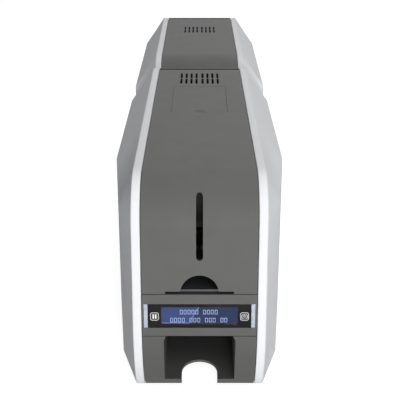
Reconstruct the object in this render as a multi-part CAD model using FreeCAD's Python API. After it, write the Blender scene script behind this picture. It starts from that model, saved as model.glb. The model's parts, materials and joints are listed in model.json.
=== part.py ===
import FreeCAD, Part
import math
import os

# Desktop ID card printer with a card laminator docked in line behind it.
# The origin is the middle of the footprint on the table. The front faces -Y and +Z is up.
# The model is drawn with y counted back from the front-most point of the nose and z from the
# underside of the housings. Everything is shifted to the origin when it is written.

V = FreeCAD.Vector

# Overall sizes in millimetres
strip_half = 50.5
side_width = 36.0
half_width = strip_half + side_width
body_height = 198.4
printer_length = 397.0
module_gap = 7.0
laminator_length = 307.0
rail_width = 8.2
shoulder_drop = 38.4
shoulder_height = body_height - shoulder_drop
wall = 2.5
foot_height = 3.6
foot_radius = 9.0
screw_head = 2.0

# Clearances
seam = 0.3
rail_gap = 0.6
shaft_play = 0.05
pin_play = 0.02
roll_gap = 0.3
overrun = 6.0

# Front outline of the printer, as seen from the side
nose_height = 52.0
toe_back = 15.0
waist_radius = 150.0
front_lean = 10.5
brow_radius = 46.0

# Plan outline of the printer's side covers
bevel_front = 19.0
corner_back = 67.0
corner_low_inset = 10.9
corner_high_inset = 13.0
taper_run = 113.0
tail_run = 15.0
tail_inset = 4.5
patch_share = 0.12

# Outline of the laminator
neck_inset = 6.0
neck_length = 41.0
neck_drop = 40.0
brow_rise = 26.4
stern_length = 14.0
stern_inset = 2.5
stern_half = half_width - stern_inset

# Front openings and panels
panel_low = 62.5
panel_high = 101.8
bezel_half = 45.3
bezel_low = 70.8
bezel_high = 93.0
screen_half = 33.7
screen_low = 74.0
screen_tall = 16.0
light_width = 3.4
light_gap = 0.5
bezel_depth = 2.2
button_size = 7.9
button_centre = 39.5
button_height = 81.8
button_corner = 1.6
button_depth = 4.0
button_proud = 0.4
button_play = 0.25
pocket_half = 32.0
pocket_floor = 8.0
pocket_depth = 92.0
pocket_wall = 2.5
pocket_chamfer = 5.0
thumb_half = 16.5
thumb_depth = 40.0
slot_half = 30.0
slot_low = 102.1
slot_high = 104.4
moon_radius = 17.0
level_half = 3.0
level_low = 132.0
level_high = 187.5

# Top of the covers
lip_depth = 6.0
lip_width = 2.5
vent_count = 4
vent_width = 2.6
vent_pitch = 6.1
vent_middle_gap = 7.3
vent_rib = 2.4
laminator_vent_setback = 108.0
laminator_vent_length = 39.0
hatch_half = 30.0
hatch_sweep_gap = 0.8
hatch_pivot_back = 12.0
hatch_pivot_drop = 4.1
hatch_pin_radius = 1.2
hatch_ear = 3.0
ledge_width = 3.0
ledge_thickness = 2.0
finger_radius = 6.5
hinge_roll = 6.0
hinge_pin_radius = 1.8
ear_radius = 3.2
knuckle_width = 3.6
knuckle_web = 8.0

# Inner frame
plate_inset = 8.5
plate_inner = strip_half - plate_inset
plate_thickness = 1.6
plate_drop = 48.4
tower_drop = 14.4
tower_run = 74.0
plate_front = 100.0
plate_step = 24.0
slope_run = 30.0
slope_low = 120.0
slope_drop = 30.4
window_low = 24.0
window_high = 76.0
arm_front = 60.0
arm_low = 66.0
arm_high = 112.0
flange_width = 12.0
flange_setback = 6.0
rim_height = 12.0
rim_thickness = 2.0

# Card transport
card_plane = 106.0
card_gap = 0.8
drive_radius = 8.0
pinch_radius = 6.0
rubber_inset = 14.0
rubber_half = plate_inner - rubber_inset
shaft_radius = 3.0
pulley_radius = 8.0
flange_radius = 10.6
pulley_width = 4.8
pulley_flange = 1.0
belt_thickness = 1.5
pulley_offset = 1.6
pickup_back = 78.0
pickup_radius = 9.0
cleaning_radius = 7.0
motor_size = 42.0
motor_length = 33.0
motor_height = 52.0
motor_boss_radius = 11.0
guide_thickness = 1.0
guide_drop = 1.6


def box(x0, x1, y0, y1, z0, z1):
    return Part.makeBox(x1 - x0, y1 - y0, z1 - z0, V(x0, y0, z0))


def rod_x(radius, x0, x1, y, z):
    return Part.makeCylinder(radius, x1 - x0, V(x0, y, z), V(1, 0, 0))


def rod_y(radius, y0, y1, x, z):
    return Part.makeCylinder(radius, y1 - y0, V(x, y0, z), V(0, 1, 0))


def rod_z(radius, z0, z1, x, y):
    return Part.makeCylinder(radius, z1 - z0, V(x, y, z0), V(0, 0, 1))


def polygon(points):
    return Part.Face(Part.makePolygon(points + [points[0]]))


def side_plate(outline, x0, x1):
    """A flat plate whose (y, z) outline is stretched from x0 to x1."""
    return polygon([V(x0, y, z) for y, z in outline]).extrude(V(x1 - x0, 0, 0))


def joined(shapes):
    first = shapes[0]
    if len(shapes) == 1:
        return first
    return first.fuse(shapes[1:]).removeSplitter()


def mirrored(shape):
    return shape.mirror(V(0, 0, 0), V(1, 0, 0))


def both_sides(shape):
    return [shape, mirrored(shape)]


def offset_chain(points, inset):
    """Shifts a chain of corner points to its left by the inset, keeping the corners sharp."""
    lines = []
    for (ax, ay), (bx, by) in zip(points, points[1:]):
        length = math.hypot(bx - ax, by - ay)
        shift_x = -(by - ay) / length * inset
        shift_y = (bx - ax) / length * inset
        lines.append(((ax + shift_x, ay + shift_y), (bx - ax, by - ay)))
    moved = [lines[0][0]]
    for (start, way), (other, turn) in zip(lines, lines[1:]):
        across = way[0] * turn[1] - way[1] * turn[0]
        reach = ((other[0] - start[0]) * turn[1] - (other[1] - start[1]) * turn[0]) / across
        moved.append((start[0] + reach * way[0], start[1] + reach * way[1]))
    start, way = lines[-1]
    moved.append((start[0] + way[0], start[1] + way[1]))
    return moved


def section_corners(inset):
    """Rail edge half width and shoulder height of the cross-section, moved in by the inset."""
    section = [
        (half_width, 0),
        (half_width, shoulder_height),
        (strip_half + rail_width, body_height),
        (0, body_height),
    ]
    moved = offset_chain(section, inset)
    return moved[2][0], moved[1][1]


# Outline of the printer's nose
lean = math.radians(front_lean)
quarter = math.pi / 2
toe_radius = (toe_back ** 2 + nose_height ** 2) / (2 * toe_back)
waist_top_back = waist_radius * (1 - math.cos(lean))
waist_top_height = nose_height + waist_radius * math.sin(lean)
brow_tangent = brow_radius * math.tan((quarter - lean) / 2)
brow_back = waist_top_back + (body_height - waist_top_height) * math.tan(lean) + brow_tangent
brow_height = body_height - brow_radius
printer_tail = printer_length
laminator_front = printer_length + module_gap
laminator_tail = laminator_front + laminator_length
total_length = laminator_tail + screw_head
panel_end = brow_back + overrun
tower_height = body_height - tower_drop
laminator_brow = body_height - card_plane - brow_rise
laminator_vent_start = laminator_tail - laminator_vent_setback

# Places along the modules, as shares of the run behind the card hopper and of the laminator
hopper_back = 119.0
front_feed_gap = 11.0
platen_share = 0.288
rear_feed_share = 0.561
exit_feed_share = 0.831
takeup_share = 0.112
supply_share = 0.464
entry_feed_share = 0.085
press_share = 0.459
outlet_feed_share = 0.85
film_supply_share = 0.254
film_takeup_share = 0.678
hatch_shares = (0.356, 0.703)
vent_shares = (0.745, 0.91)
printer_board_shares = (0.414, 0.91)
laminator_board_shares = (0.557, 0.932)
printer_feet_shares = (0.032, 0.867)
laminator_feet_shares = (0.15, 0.9)
printer_window_shares = ((0.428, 0.716), (0.759, 0.953), (-0.025, 0.162))
laminator_window_shares = ((0.085, 0.313), (0.606, 0.801))


def along_printer(share):
    return hopper_back + share * (printer_tail - hopper_back)


def along_laminator(share):
    return laminator_front + share * laminator_length


front_feed_back = hopper_back + front_feed_gap
platen_back = along_printer(platen_share)
rear_feed_back = along_printer(rear_feed_share)
exit_feed_back = along_printer(exit_feed_share)
entry_feed_back = along_laminator(entry_feed_share)
press_back = along_laminator(press_share)
outlet_feed_back = along_laminator(outlet_feed_share)
hatch_start, hatch_end = [along_printer(share) for share in hatch_shares]
vent_start, vent_end = [along_printer(share) for share in vent_shares]


def arc(place, first, last):
    return Part.Arc(place(first), place((first + last) / 2), place(last)).toShape()


def top_run(start, stops):
    runs = []
    for stop in stops:
        end = V(start.x, stop, start.z)
        runs.append(Part.makeLine(start, end))
        start = end
    return runs


def printer_curve(x, inset, low, stops):
    """The printer's front and top in the plane x: toe, waist, leaning front, brow and top."""
    toe_r = toe_radius - inset
    waist_r = waist_radius - inset
    brow_r = brow_radius - inset

    def toe(angle):
        return V(x, toe_radius - toe_r * math.cos(angle), nose_height - toe_r * math.sin(angle))

    def waist(angle):
        return V(x, waist_radius - waist_r * math.cos(angle), nose_height + waist_r * math.sin(angle))

    def brow(angle):
        return V(x, brow_back - brow_r * math.cos(angle), brow_height + brow_r * math.sin(angle))

    toe_angle = math.asin((nose_height - low) / toe_r)
    front = [
        arc(toe, toe_angle, 0),
        arc(waist, 0, lean),
        Part.makeLine(waist(lean), brow(lean)),
        arc(brow, lean, quarter),
    ]
    return front + top_run(brow(quarter), stops)


def laminator_curve(x, inset, low, stops):
    """The laminator's front and top in the plane x: upright front, brow and top."""
    radius = laminator_brow - inset

    def brow(angle):
        back = laminator_front + laminator_brow - radius * math.cos(angle)
        return V(x, back, body_height - laminator_brow + radius * math.sin(angle))

    front = [Part.makeLine(V(x, brow(0).y, low), brow(0)), arc(brow, 0, quarter)]
    return front + top_run(brow(quarter), stops)


def printer_ridge(inset, low, over):
    """Corner line, shoulder line and foot of the right side wall of the printer."""
    shoulder = section_corners(inset)[1]
    rear_y = printer_tail + over
    rear_x = half_width - tail_inset * (over + tail_run) / tail_run
    rear = [
        (half_width, corner_back + taper_run),
        (half_width, printer_tail - tail_run),
        (rear_x, rear_y),
    ]
    start = (strip_half + rail_width, bevel_front)
    high = offset_chain([start, (half_width - corner_high_inset, corner_back)] + rear, inset)
    bottom = offset_chain([start, (half_width - corner_low_inset, corner_back)] + rear, inset)
    foot = V(bottom[1][0], bottom[1][1], low)
    corner = V(high[1][0], high[1][1], shoulder)
    bulge = V(high[2][0], high[2][1], shoulder)
    bend = V(high[3][0], high[3][1], shoulder)
    end = V(high[4][0], rear_y, shoulder)
    waist_top = nose_height + (waist_radius - inset) * math.sin(lean)
    ridge = []
    for height in (low, nose_height, waist_top):
        ridge.append(foot + (corner - foot) * ((height - low) / (shoulder - low)))
    ridge += [corner, corner + (bulge - corner) * patch_share, bulge, bend, end]
    taper = bulge - corner
    bulge_foot_y = foot.y + taper.y * (bulge.x - foot.x) / taper.x
    feet = [V(bulge.x, bulge_foot_y, low), V(bend.x, bend.y, low), V(end.x, end.y, low)]
    return ridge, feet


def laminator_ridge(inset, low, over):
    """Corner line, shoulder line and foot of the right side wall of the laminator."""
    shoulder = section_corners(inset)[1]
    rear_y = laminator_tail + over
    rear_x = half_width - stern_inset * (over + stern_length) / stern_length
    plan = [
        (0, laminator_front),
        (half_width - neck_inset, laminator_front),
        (half_width, laminator_front + neck_length),
        (half_width, laminator_tail - stern_length),
        (rear_x, rear_y),
    ]
    moved = offset_chain(plan, inset)
    foot = V(moved[1][0], moved[1][1], low)
    corner = V(foot.x, foot.y, shoulder - neck_drop)
    bulge = V(moved[2][0], moved[2][1], shoulder)
    bend = V(moved[3][0], moved[3][1], shoulder)
    end = V(moved[4][0], rear_y, shoulder)
    feet = [V(bulge.x, bulge.y, low), V(bend.x, bend.y, low), V(end.x, end.y, low)]
    return [foot, corner, bulge, bend, end], feet


def side_form(module, inset, inner_x, low, over):
    """Right half of a module's outer form from inner_x outwards, with every face moved in by inset."""
    ridge, feet = module.ridge(inset, low, over)
    rail_x = section_corners(inset)[0]
    first_foot = len(ridge) - len(feet)
    stops = [point.y for point in ridge[module.front_edges + 1:]]
    inner = module.curve(inner_x, inset, low, stops)
    rail = module.curve(rail_x, inset, low, stops)
    faces = []
    for near, far in zip(inner, rail):
        faces.append(Part.makeRuledSurface(near, far))
    for near, start, end in zip(rail, ridge, ridge[1:]):
        faces.append(Part.makeRuledSurface(near, Part.makeLine(start, end)))
    faces.append(polygon(ridge[: first_foot + 1] + [feet[0]]))
    wall_tops = ridge[first_foot:]
    for index in range(len(feet) - 1):
        faces.append(polygon([wall_tops[index], wall_tops[index + 1], feet[index + 1], feet[index]]))
    inner_toe = inner[0].valueAt(inner[0].FirstParameter)
    rail_toe = rail[0].valueAt(rail[0].FirstParameter)
    rear_y = stops[-1]
    inner_top = V(inner_x, rear_y, body_height - inset)
    rail_top = V(rail_x, rear_y, body_height - inset)
    inner_heel = V(inner_x, rear_y, low)
    faces.append(polygon([inner_toe, rail_toe, ridge[0]] + feet + [inner_heel]))
    faces.append(polygon([inner_top, rail_top, ridge[-1], feet[-1], inner_heel]))
    ends = [Part.makeLine(inner_top, inner_heel), Part.makeLine(inner_heel, inner_toe)]
    faces.append(Part.Face(Part.Wire(inner + ends)))
    shell = Part.makeShell(faces)
    shell.sewShape()
    solid = Part.makeSolid(shell)
    if solid.Volume < 0:
        solid.reverse()
    return solid


class Module:
    """One housing: its side outline, its ridge lines, and where it starts and ends."""

    def __init__(self, curve, ridge, front_edges, front, tail):
        self.curve = curve
        self.ridge = ridge
        self.front_edges = front_edges
        self.front = front
        self.tail = tail


printer = Module(printer_curve, printer_ridge, 4, 0, printer_tail)
laminator = Module(laminator_curve, laminator_ridge, 2, laminator_front, laminator_tail)


def full_form(module, inset):
    """Both halves of a module's form as one solid."""
    half = side_form(module, inset, 0, 0, 0)
    return joined(both_sides(half))


def block(module, x0, x1, inset, low, end):
    """The module's whole side outline, moved in by the inset, as a block from x0 to x1."""
    curve = module.curve(x0, inset, low, [end])
    toe = curve[0].valueAt(curve[0].FirstParameter)
    top = V(x0, end, body_height - inset)
    heel = V(x0, end, low)
    outline = Part.Wire(curve + [Part.makeLine(top, heel), Part.makeLine(heel, toe)])
    return Part.Face(outline).extrude(V(x1 - x0, 0, 0))


def band(module, x0, x1, outer_inset, inner_inset, end):
    """A strip that follows the module's front and top between two insets."""
    outer = block(module, x0, x1, outer_inset, 0, end)
    return outer.cut(block(module, x0 - overrun, x1 + overrun, inner_inset, -overrun, end + overrun))


# Side covers
rail_inner = strip_half + rail_gap
rail_lip_width = 2.0
rail_lip_depth = 7.0


def side_cover(module):
    """Thin shell of one side with the rail that frames the dark strip and a lip under the rail."""
    outer = side_form(module, 0, rail_inner, 0, 0)
    hollow = side_form(module, wall, rail_inner - overrun, -overrun, overrun)
    lip = band(module, rail_inner, rail_inner + rail_lip_width, wall / 2, rail_lip_depth, module.tail)
    return joined([outer.cut(hollow), lip])


# Places that several pieces share
inner_inset = wall + seam
plate_outer = plate_inner + plate_thickness
roller_height = card_plane - drive_radius
pinch_height = card_plane + card_gap + pinch_radius
passage_half_height = 7.0
exit_low = card_plane - passage_half_height
exit_high = card_plane + passage_half_height
exit_inset = 11.0
exit_half = plate_inner - exit_inset
lip_clear = rail_inner + rail_lip_width + seam


def hinge_axis(module):
    tail = module.tail
    return tail - wall - seam - hinge_roll, body_height - hinge_roll


def base_tray(module):
    """Floor with an upturned rim that the side covers close around."""
    tail = module.tail - wall - seam
    front = module.front
    rim_top = wall + rim_height
    slab = box(-half_width, half_width, front, tail, 0, rim_top)
    tray = full_form(module, inner_inset).common(slab)
    inside = full_form(module, inner_inset + rim_thickness)
    room = box(-half_width, half_width, front, tail - rim_thickness, wall, body_height)
    return tray.cut(inside.common(room))


board_standoff = 13.5
board_thickness = 1.6
post_radius = 3.0
board_inset = 8.0
board_half = plate_inner - board_inset
post_inset = 6.0
printer_board = [along_printer(share) for share in printer_board_shares]
laminator_board = [along_laminator(share) for share in laminator_board_shares]


def board_posts(place):
    y0, y1 = place
    x0, x1 = -board_half, board_half
    posts = []
    for x in (x0 + post_inset, x1 - post_inset):
        for y in (y0 + post_inset, y1 - post_inset):
            posts.append(rod_z(post_radius, wall / 2, wall + board_standoff, x, y))
    return posts


def printer_tray():
    tray = base_tray(printer)
    mouth = box(-lip_clear, lip_clear, 0, plate_front - seam, -overrun, body_height)
    return joined([tray.cut(mouth)] + board_posts(printer_board))


def laminator_tray():
    tray = base_tray(laminator)
    front = laminator_front + wall
    nose = box(-lip_clear, lip_clear, laminator_front, front + rail_lip_depth, -overrun, body_height)
    return joined([tray.cut(nose)] + board_posts(laminator_board))


def rear_section(module):
    """Back wall of a module, fitted inside the side covers and flush with the dark strip."""
    tail = module.tail
    slab = box(-half_width, half_width, tail - wall, tail, 0, body_height)
    panel = full_form(module, inner_inset).common(slab)
    strip_top = body_height - rail_lip_depth - seam
    notch = box(rail_inner - seam, lip_clear, tail - wall - seam, tail + overrun,
                strip_top, body_height + seam)
    for side in both_sides(notch):
        panel = panel.cut(side)
    crest_low = body_height - wall - rail_lip_depth
    crest = box(-strip_half, strip_half, tail - wall, tail, crest_low, body_height)
    card_slot = box(-exit_half, exit_half, tail - overrun, tail + overrun, exit_low, exit_high)
    return joined([panel, crest]).cut(card_slot)


def printer_back():
    return rear_section(printer)


# Laminator's rear connections
inlet_centre = (plate_outer + stern_half - wall) / 2
inlet_height = 40.0
inlet_width = 28.0
inlet_tall = 21.0
inlet_depth = 18.0
inlet_flange = 2.5
socket_width = 24.4
socket_tall = 16.8
socket_depth = 13.0
socket_corner = 4.0
prong_width = 2.0
prong_tall = 4.0
prong_length = 7.0
prong_pitch = 7.0
prong_step = 3.5
switch_height = 72.0
switch_width = 15.0
switch_tall = 22.0
switch_frame = 2.0
switch_depth = 14.0
switch_tilt = 6.0
rocker_pivot_depth = 5.0
rocker_pivot_back = laminator_tail - rocker_pivot_depth
rocker_gap = 0.4
ports_centre = -inlet_centre
usb_height = 34.0
usb_width = 12.0
usb_tall = 11.0
usb_depth = 14.0
network_height = 58.0
network_width = 16.0
network_tall = 13.5
network_mouth_width = 11.8
network_mouth_tall = 8.0
network_mouth_depth = 11.0
usb_mouth_width = 8.4
usb_mouth_tall = 7.7
usb_tongue_width = 5.4
usb_tongue_tall = 3.0
screw_radius = 3.2
screw_shank = 1.5
screw_reach = 8.0
screw_inset = 18.5
screw_low = 21.0
screw_drop = 55.6
grille_count = 7
grille_pitch = 7.0
grille_width = 3.2
grille_length = 34.0
grille_low = 126.0


def screw_places():
    x = stern_half - screw_inset
    return [(side * x, z) for side in (-1, 1) for z in (screw_low, body_height - screw_drop)]


def laminator_back():
    panel = rear_section(laminator)
    y0 = laminator_tail - overrun
    y1 = laminator_tail + overrun
    cuts = [
        centred(inlet_centre, inlet_width, y0, y1, inlet_height, inlet_tall, pin_play),
        centred(inlet_centre, switch_width, y0, y1, switch_height, switch_tall, pin_play),
        centred(ports_centre, usb_width, y0, y1, usb_height, usb_tall, pin_play),
        centred(ports_centre, network_width, y0, y1, network_height, network_tall, pin_play),
    ]
    for x, z in screw_places():
        cuts.append(rod_y(screw_shank + pin_play, y0, y1, x, z))
    for index in range(grille_count):
        x = (index - (grille_count - 1) / 2) * grille_pitch
        low = grille_low + grille_width / 2
        high = grille_low + grille_length - grille_width / 2
        cuts.append(box(x - grille_width / 2, x + grille_width / 2, y0, y1, low, high))
        cuts.append(rod_y(grille_width / 2, y0, y1, x, low))
        cuts.append(rod_y(grille_width / 2, y0, y1, x, high))
    return panel.cut(cuts)


def centred(x, width, y0, y1, z, tall, grown):
    """Block from y0 to y1 round the point (x, z), larger than its width and height by grown all round."""
    half_x = width / 2 + grown
    half_z = tall / 2 + grown
    return box(x - half_x, x + half_x, y0, y1, z - half_z, z + half_z)


def laminator_front_panel():
    """Upright front of the laminator between its side covers, with the card passage."""
    height = body_height - laminator_brow - seam
    panel = box(-strip_half, strip_half, laminator_front, laminator_front + wall, 0, height)
    y0 = laminator_front - overrun
    y1 = laminator_front + overrun
    return panel.cut(box(-exit_half, exit_half, y0, y1, exit_low, exit_high))


docking_inset = 24.5
docking_half = half_width - docking_inset
docking_low = 18.0
docking_drop = 2.4
docking_high = card_plane + brow_rise - docking_drop
docking_rib = 10.0


def docking_frame():
    """Open frame that spaces and couples the two housings around the card passage."""
    y0 = printer_tail
    y1 = laminator_front
    frame = box(-docking_half, docking_half, y0, y1, docking_low, docking_high)
    window = box(-docking_half + docking_rib, docking_half - docking_rib, y0 - overrun, y1 + overrun,
                 docking_low + docking_rib, docking_high - docking_rib)
    inner = box(-exit_half - docking_rib, exit_half + docking_rib, y0, y1,
                exit_low - docking_rib / 2, docking_high)
    passage = box(-exit_half, exit_half, y0 - overrun, y1 + overrun, exit_low, exit_high)
    return joined([frame.cut(window), inner]).cut(passage)


# Printer front


def output_pocket():
    """Lower front moulding with the card output pocket and the thumb cut in its floor."""
    face = band(printer, -strip_half, strip_half, 0, wall, panel_end)
    face = face.common(box(-strip_half, strip_half, 0, brow_back, 0, panel_low))
    inner_low = pocket_floor - pocket_wall
    tub_half = pocket_half + pocket_wall
    tub = box(-tub_half, tub_half, wall, pocket_depth, inner_low, panel_low)
    inside = block(printer, -strip_half, strip_half, 0, 0, printer_tail)
    skirt_walls = []
    for x in (-strip_half, strip_half - pocket_wall):
        skirt_walls.append(box(x, x + pocket_wall, 0, pocket_depth, 0, panel_low))
    floor = box(-strip_half, strip_half, 0, pocket_depth, inner_low, pocket_floor)
    shelf = box(-strip_half, strip_half, 0, pocket_depth, panel_low - pocket_wall, panel_low)
    body = joined([tub, floor, shelf] + skirt_walls).common(inside)
    body = joined([face, body])
    y0 = -overrun
    cavity_points = [
        (-pocket_half, pocket_floor),
        (pocket_half, pocket_floor),
        (pocket_half, panel_low - pocket_chamfer),
        (pocket_half - pocket_chamfer, panel_low + overrun),
        (-pocket_half + pocket_chamfer, panel_low + overrun),
        (-pocket_half, panel_low - pocket_chamfer),
    ]
    cavity_face = polygon([V(x, y0, z) for x, z in cavity_points])
    cavity = cavity_face.extrude(V(0, pocket_depth - pocket_wall - y0, 0))
    thumb_straight = thumb_depth - thumb_half
    thumb = joined([
        box(-thumb_half, thumb_half, y0, thumb_straight, -overrun, pocket_floor + seam),
        rod_z(thumb_half, -overrun, pocket_floor + seam, 0, thumb_straight),
    ])
    return body.cut(cavity).cut(thumb)


light_outer = bezel_half + light_gap + light_width
screen_high = screen_low + screen_tall
shelf_depth = 24.0


def panel_band(x0, x1, outer_inset, inner_inset, z0, z1):
    strip = band(printer, x0, x1, outer_inset, inner_inset, panel_end)
    return strip.common(box(x0, x1, 0, brow_back, z0, z1))


def control_panel():
    """Dark frame round the display, with flanges at its top and bottom."""
    face = panel_band(-strip_half, strip_half, 0, wall, panel_low + seam, panel_high)
    window = box(-light_outer, light_outer, -overrun, brow_back, bezel_low, bezel_high)
    low = panel_low + seam
    behind = wall + bezel_depth
    shelf_end = wall + shelf_depth
    floor_top = panel_low + wall
    roof_low = panel_high - wall
    low_shelf = panel_band(-strip_half, strip_half, wall / 2, shelf_end, low, floor_top)
    high_shelf = panel_band(-strip_half, strip_half, wall / 2, shelf_end, roof_low, panel_high)
    backing = panel_band(-strip_half, strip_half, behind, behind + wall, floor_top, roof_low)
    cheek = panel_band(light_outer, strip_half, wall / 2, behind + wall / 2, low, panel_high)
    frame = joined([face.cut(window), low_shelf, high_shelf, backing] + both_sides(cheek))
    for x in (-button_centre, button_centre):
        frame = frame.cut(button_block(x, button_size + 2 * button_play, 2 * overrun, 0))
    return frame


def lean_line_point(z):
    return waist_top_back + (z - waist_top_height) * math.tan(lean)


def button_block(x, size, depth, proud):
    """Square block on the leaning front, sunk by depth and proud of the surface by proud."""
    y = lean_line_point(button_height)
    key = Part.makeBox(size, depth + proud, size, V(-size / 2, -proud, -size / 2))
    key = key.makeFillet(button_corner, [edge for edge in key.Edges if is_along_y(edge)])
    key.rotate(V(0, 0, 0), V(1, 0, 0), -front_lean)
    key.translate(V(x, y, button_height))
    return key


def is_along_y(edge):
    start, end = edge.Vertexes[0].Point, edge.Vertexes[-1].Point
    return abs(start.x - end.x) < seam / 10 and abs(start.z - end.z) < seam / 10


def bezel():
    """Glossy black panel with holes for the screen and the two buttons."""
    plate = panel_band(-bezel_half, bezel_half, seam, wall + bezel_depth,
                       bezel_low + seam / 2, bezel_high - seam / 2)
    plate = plate.cut(box(-screen_half, screen_half, -overrun, brow_back, screen_low, screen_high))
    for x in (-button_centre, button_centre):
        plate = plate.cut(button_block(x, button_size + 2 * button_play, 2 * overrun, overrun))
    return plate


def screen():
    return panel_band(-screen_half + pin_play, screen_half - pin_play, wall / 2, wall + bezel_depth,
                      screen_low + pin_play, screen_high - pin_play)


def light_bars():
    bar = panel_band(bezel_half + light_gap / 2, light_outer - light_gap / 2, seam / 2, wall + bezel_depth,
                     bezel_low + light_gap / 2, bezel_high - light_gap / 2)
    return Part.Compound(both_sides(bar))


def button(x):
    return button_block(x, button_size, button_depth, button_proud)


# Covers


def vent_cutters(start, length):
    """Two blocks of lengthwise slots, each slot divided by a cross rib."""
    cuts = []
    half_run = (length - vent_rib) / 2
    for side in (-1, 1):
        for index in range(vent_count):
            x = side * (vent_middle_gap / 2 + index * vent_pitch)
            for y in (start, start + half_run + vent_rib):
                cuts.append(box(x - vent_width / 2, x + vent_width / 2, y, y + half_run,
                                body_height - 2 * wall, body_height + overrun))
    return cuts


def rear_roll(module):
    """Rounded rear end of a cover, centred on the hinge axis, so that it turns in its own space."""
    y, z = hinge_axis(module)
    roll = rod_x(hinge_roll, -strip_half, strip_half, y, z)
    core = rod_x(hinge_roll - wall, -strip_half - overrun, strip_half + overrun, y, z)
    corner = box(-strip_half, strip_half, y, y + hinge_roll + overrun, z, z + hinge_roll + overrun)
    return roll.cut(core).common(corner)


def knuckles(module):
    """Ears under the cover that turn on the hinge pins."""
    y, z = hinge_axis(module)
    x1 = plate_inner - seam
    x0 = x1 - knuckle_width
    web = box(x0, x1, y - knuckle_web, y, z, z + hinge_roll - wall / 2)
    ear = joined([web, rod_x(ear_radius, x0, x1, y, z)])
    ear = ear.cut(rod_x(hinge_pin_radius + shaft_play, x0 - overrun, x1 + overrun, y, z))
    return both_sides(ear)


def cover_shell(module, low_cut):
    """The dark strip of a module: curved front, flat top, side lips, rear roll and hinge ears."""
    y, z = hinge_axis(module)
    skin = band(module, -strip_half, strip_half, 0, wall, y)
    lip = band(module, strip_half - lip_width, strip_half, wall / 2, wall + lip_depth, y - knuckle_web)
    below = box(-half_width, half_width, module.front - overrun, y, -overrun, low_cut)
    shell = joined([skin] + both_sides(lip)).cut(below)
    return joined([shell, rear_roll(module)] + knuckles(module))


def hatch_pivot():
    return hatch_end - hatch_pivot_back, body_height - hatch_pivot_drop


def hatch_frame():
    """Ledge under the hatch opening and the two blocks that carry the hatch's pins."""
    under = body_height - wall
    pivot_y, pivot_z = hatch_pivot()
    ledge_end = pivot_y - 2 * hatch_ear
    outer = box(-hatch_half - ledge_width, hatch_half + ledge_width, hatch_start - ledge_width, ledge_end,
                under - ledge_thickness, under)
    inner = box(-hatch_half + ledge_width, hatch_half - ledge_width, hatch_start + 2 * ledge_width + seam,
                ledge_end + overrun, under - 2 * ledge_thickness, under + seam)
    ledge = outer.cut(inner)
    bearing = box(hatch_half + seam, hatch_half + ledge_width + seam,
                  pivot_y - hatch_ear, pivot_y + hatch_ear, pivot_z - hatch_ear, under + seam)
    hole_end = hatch_half + 2 * overrun
    hole = rod_x(hatch_pin_radius + shaft_play, hatch_half, hole_end, pivot_y, pivot_z)
    return [ledge] + both_sides(bearing.cut(hole))


def printer_cover():
    shell = cover_shell(printer, slot_low)
    front_cuts = [
        rod_y(moon_radius, -overrun, toe_back + overrun, 0, slot_low),
        box(-slot_half, slot_half, -overrun, toe_back + overrun, slot_low - overrun, slot_high),
        box(-level_half, level_half, -overrun, brow_back, level_low + level_half, level_high - level_half),
        rod_y(level_half, -overrun, brow_back, 0, level_low + level_half),
        rod_y(level_half, -overrun, brow_back, 0, level_high - level_half),
        box(-hatch_half - seam, hatch_half + seam, hatch_start - seam, hatch_end + hatch_sweep_gap,
            body_height - 2 * wall, body_height + overrun),
    ]
    shell = shell.cut(front_cuts + vent_cutters(vent_start, vent_end - vent_start))
    shell = joined([shell] + hatch_frame())
    scoop = rod_z(finger_radius, body_height - wall / 2, body_height + overrun, 0, hatch_start)
    return shell.cut(scoop)


def hatch():
    """Flush flap in the top cover that tips up about pins near its rear edge."""
    pivot_y, pivot_z = hatch_pivot()
    plate = box(-hatch_half, hatch_half, hatch_start, hatch_end, body_height - wall, body_height)
    ear = box(hatch_half - hatch_ear, hatch_half, pivot_y - hatch_ear, pivot_y + hatch_ear,
              pivot_z - hatch_ear, body_height - wall / 2)
    pin = rod_x(hatch_pin_radius, hatch_half - hatch_ear / 2, hatch_half + ledge_width, pivot_y, pivot_z)
    notch = rod_z(finger_radius, body_height - 2 * wall, body_height + overrun, 0, hatch_start)
    flap = joined([plate] + both_sides(ear) + both_sides(pin))
    return flap.cut(notch)


def laminator_cover():
    low = body_height - laminator_brow
    shell = cover_shell(laminator, low)
    return shell.cut(vent_cutters(laminator_vent_start, laminator_vent_length))


def hinge_pins():
    pins = []
    for module in (printer, laminator):
        y, z = hinge_axis(module)
        pin = rod_x(hinge_pin_radius, plate_inner - seam - knuckle_width - seam, plate_outer + seam, y, z)
        pins += both_sides(pin)
    return Part.Compound(pins)


# Print head on the top cover
head_inset = 12.5
head_half = plate_inner - head_inset
head_depth = 18.0
head_front = platen_back - head_depth / 2
head_back = platen_back + head_depth / 2
head_low = card_plane + 1.0
head_strip_half = 3.0
head_strip_height = 5.0
head_sink_height = 22.0
head_base = 5.0
fin_count = 9
fin_thickness = 1.4
bracket_plate = 2.0
bracket_half = head_half + seam + bracket_plate


def print_head():
    """Thermal strip under a finned aluminium block."""
    low = head_low + head_strip_height
    top = low + head_sink_height
    middle = (head_front + head_back) / 2
    strip = box(-head_half, head_half, middle - head_strip_half, middle + head_strip_half, head_low, low)
    base = box(-head_half, head_half, head_front, head_back, low, low + head_base)
    fins = []
    step = (2 * head_half - fin_thickness) / (fin_count - 1)
    for index in range(fin_count):
        x = -head_half + index * step
        fins.append(box(x, x + fin_thickness, head_front, head_back, low + head_base, top))
    return joined([strip, base] + fins)


def head_bracket():
    """Sheet metal yoke that hangs the head from the top cover."""
    top = body_height - wall
    low = head_low + head_strip_height
    yoke = box(-bracket_half, bracket_half, head_front, head_back, low, top)
    room = box(-bracket_half + bracket_plate, bracket_half - bracket_plate, head_front - overrun,
               head_back + overrun, low - overrun, top - bracket_plate)
    return yoke.cut(room)


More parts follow.
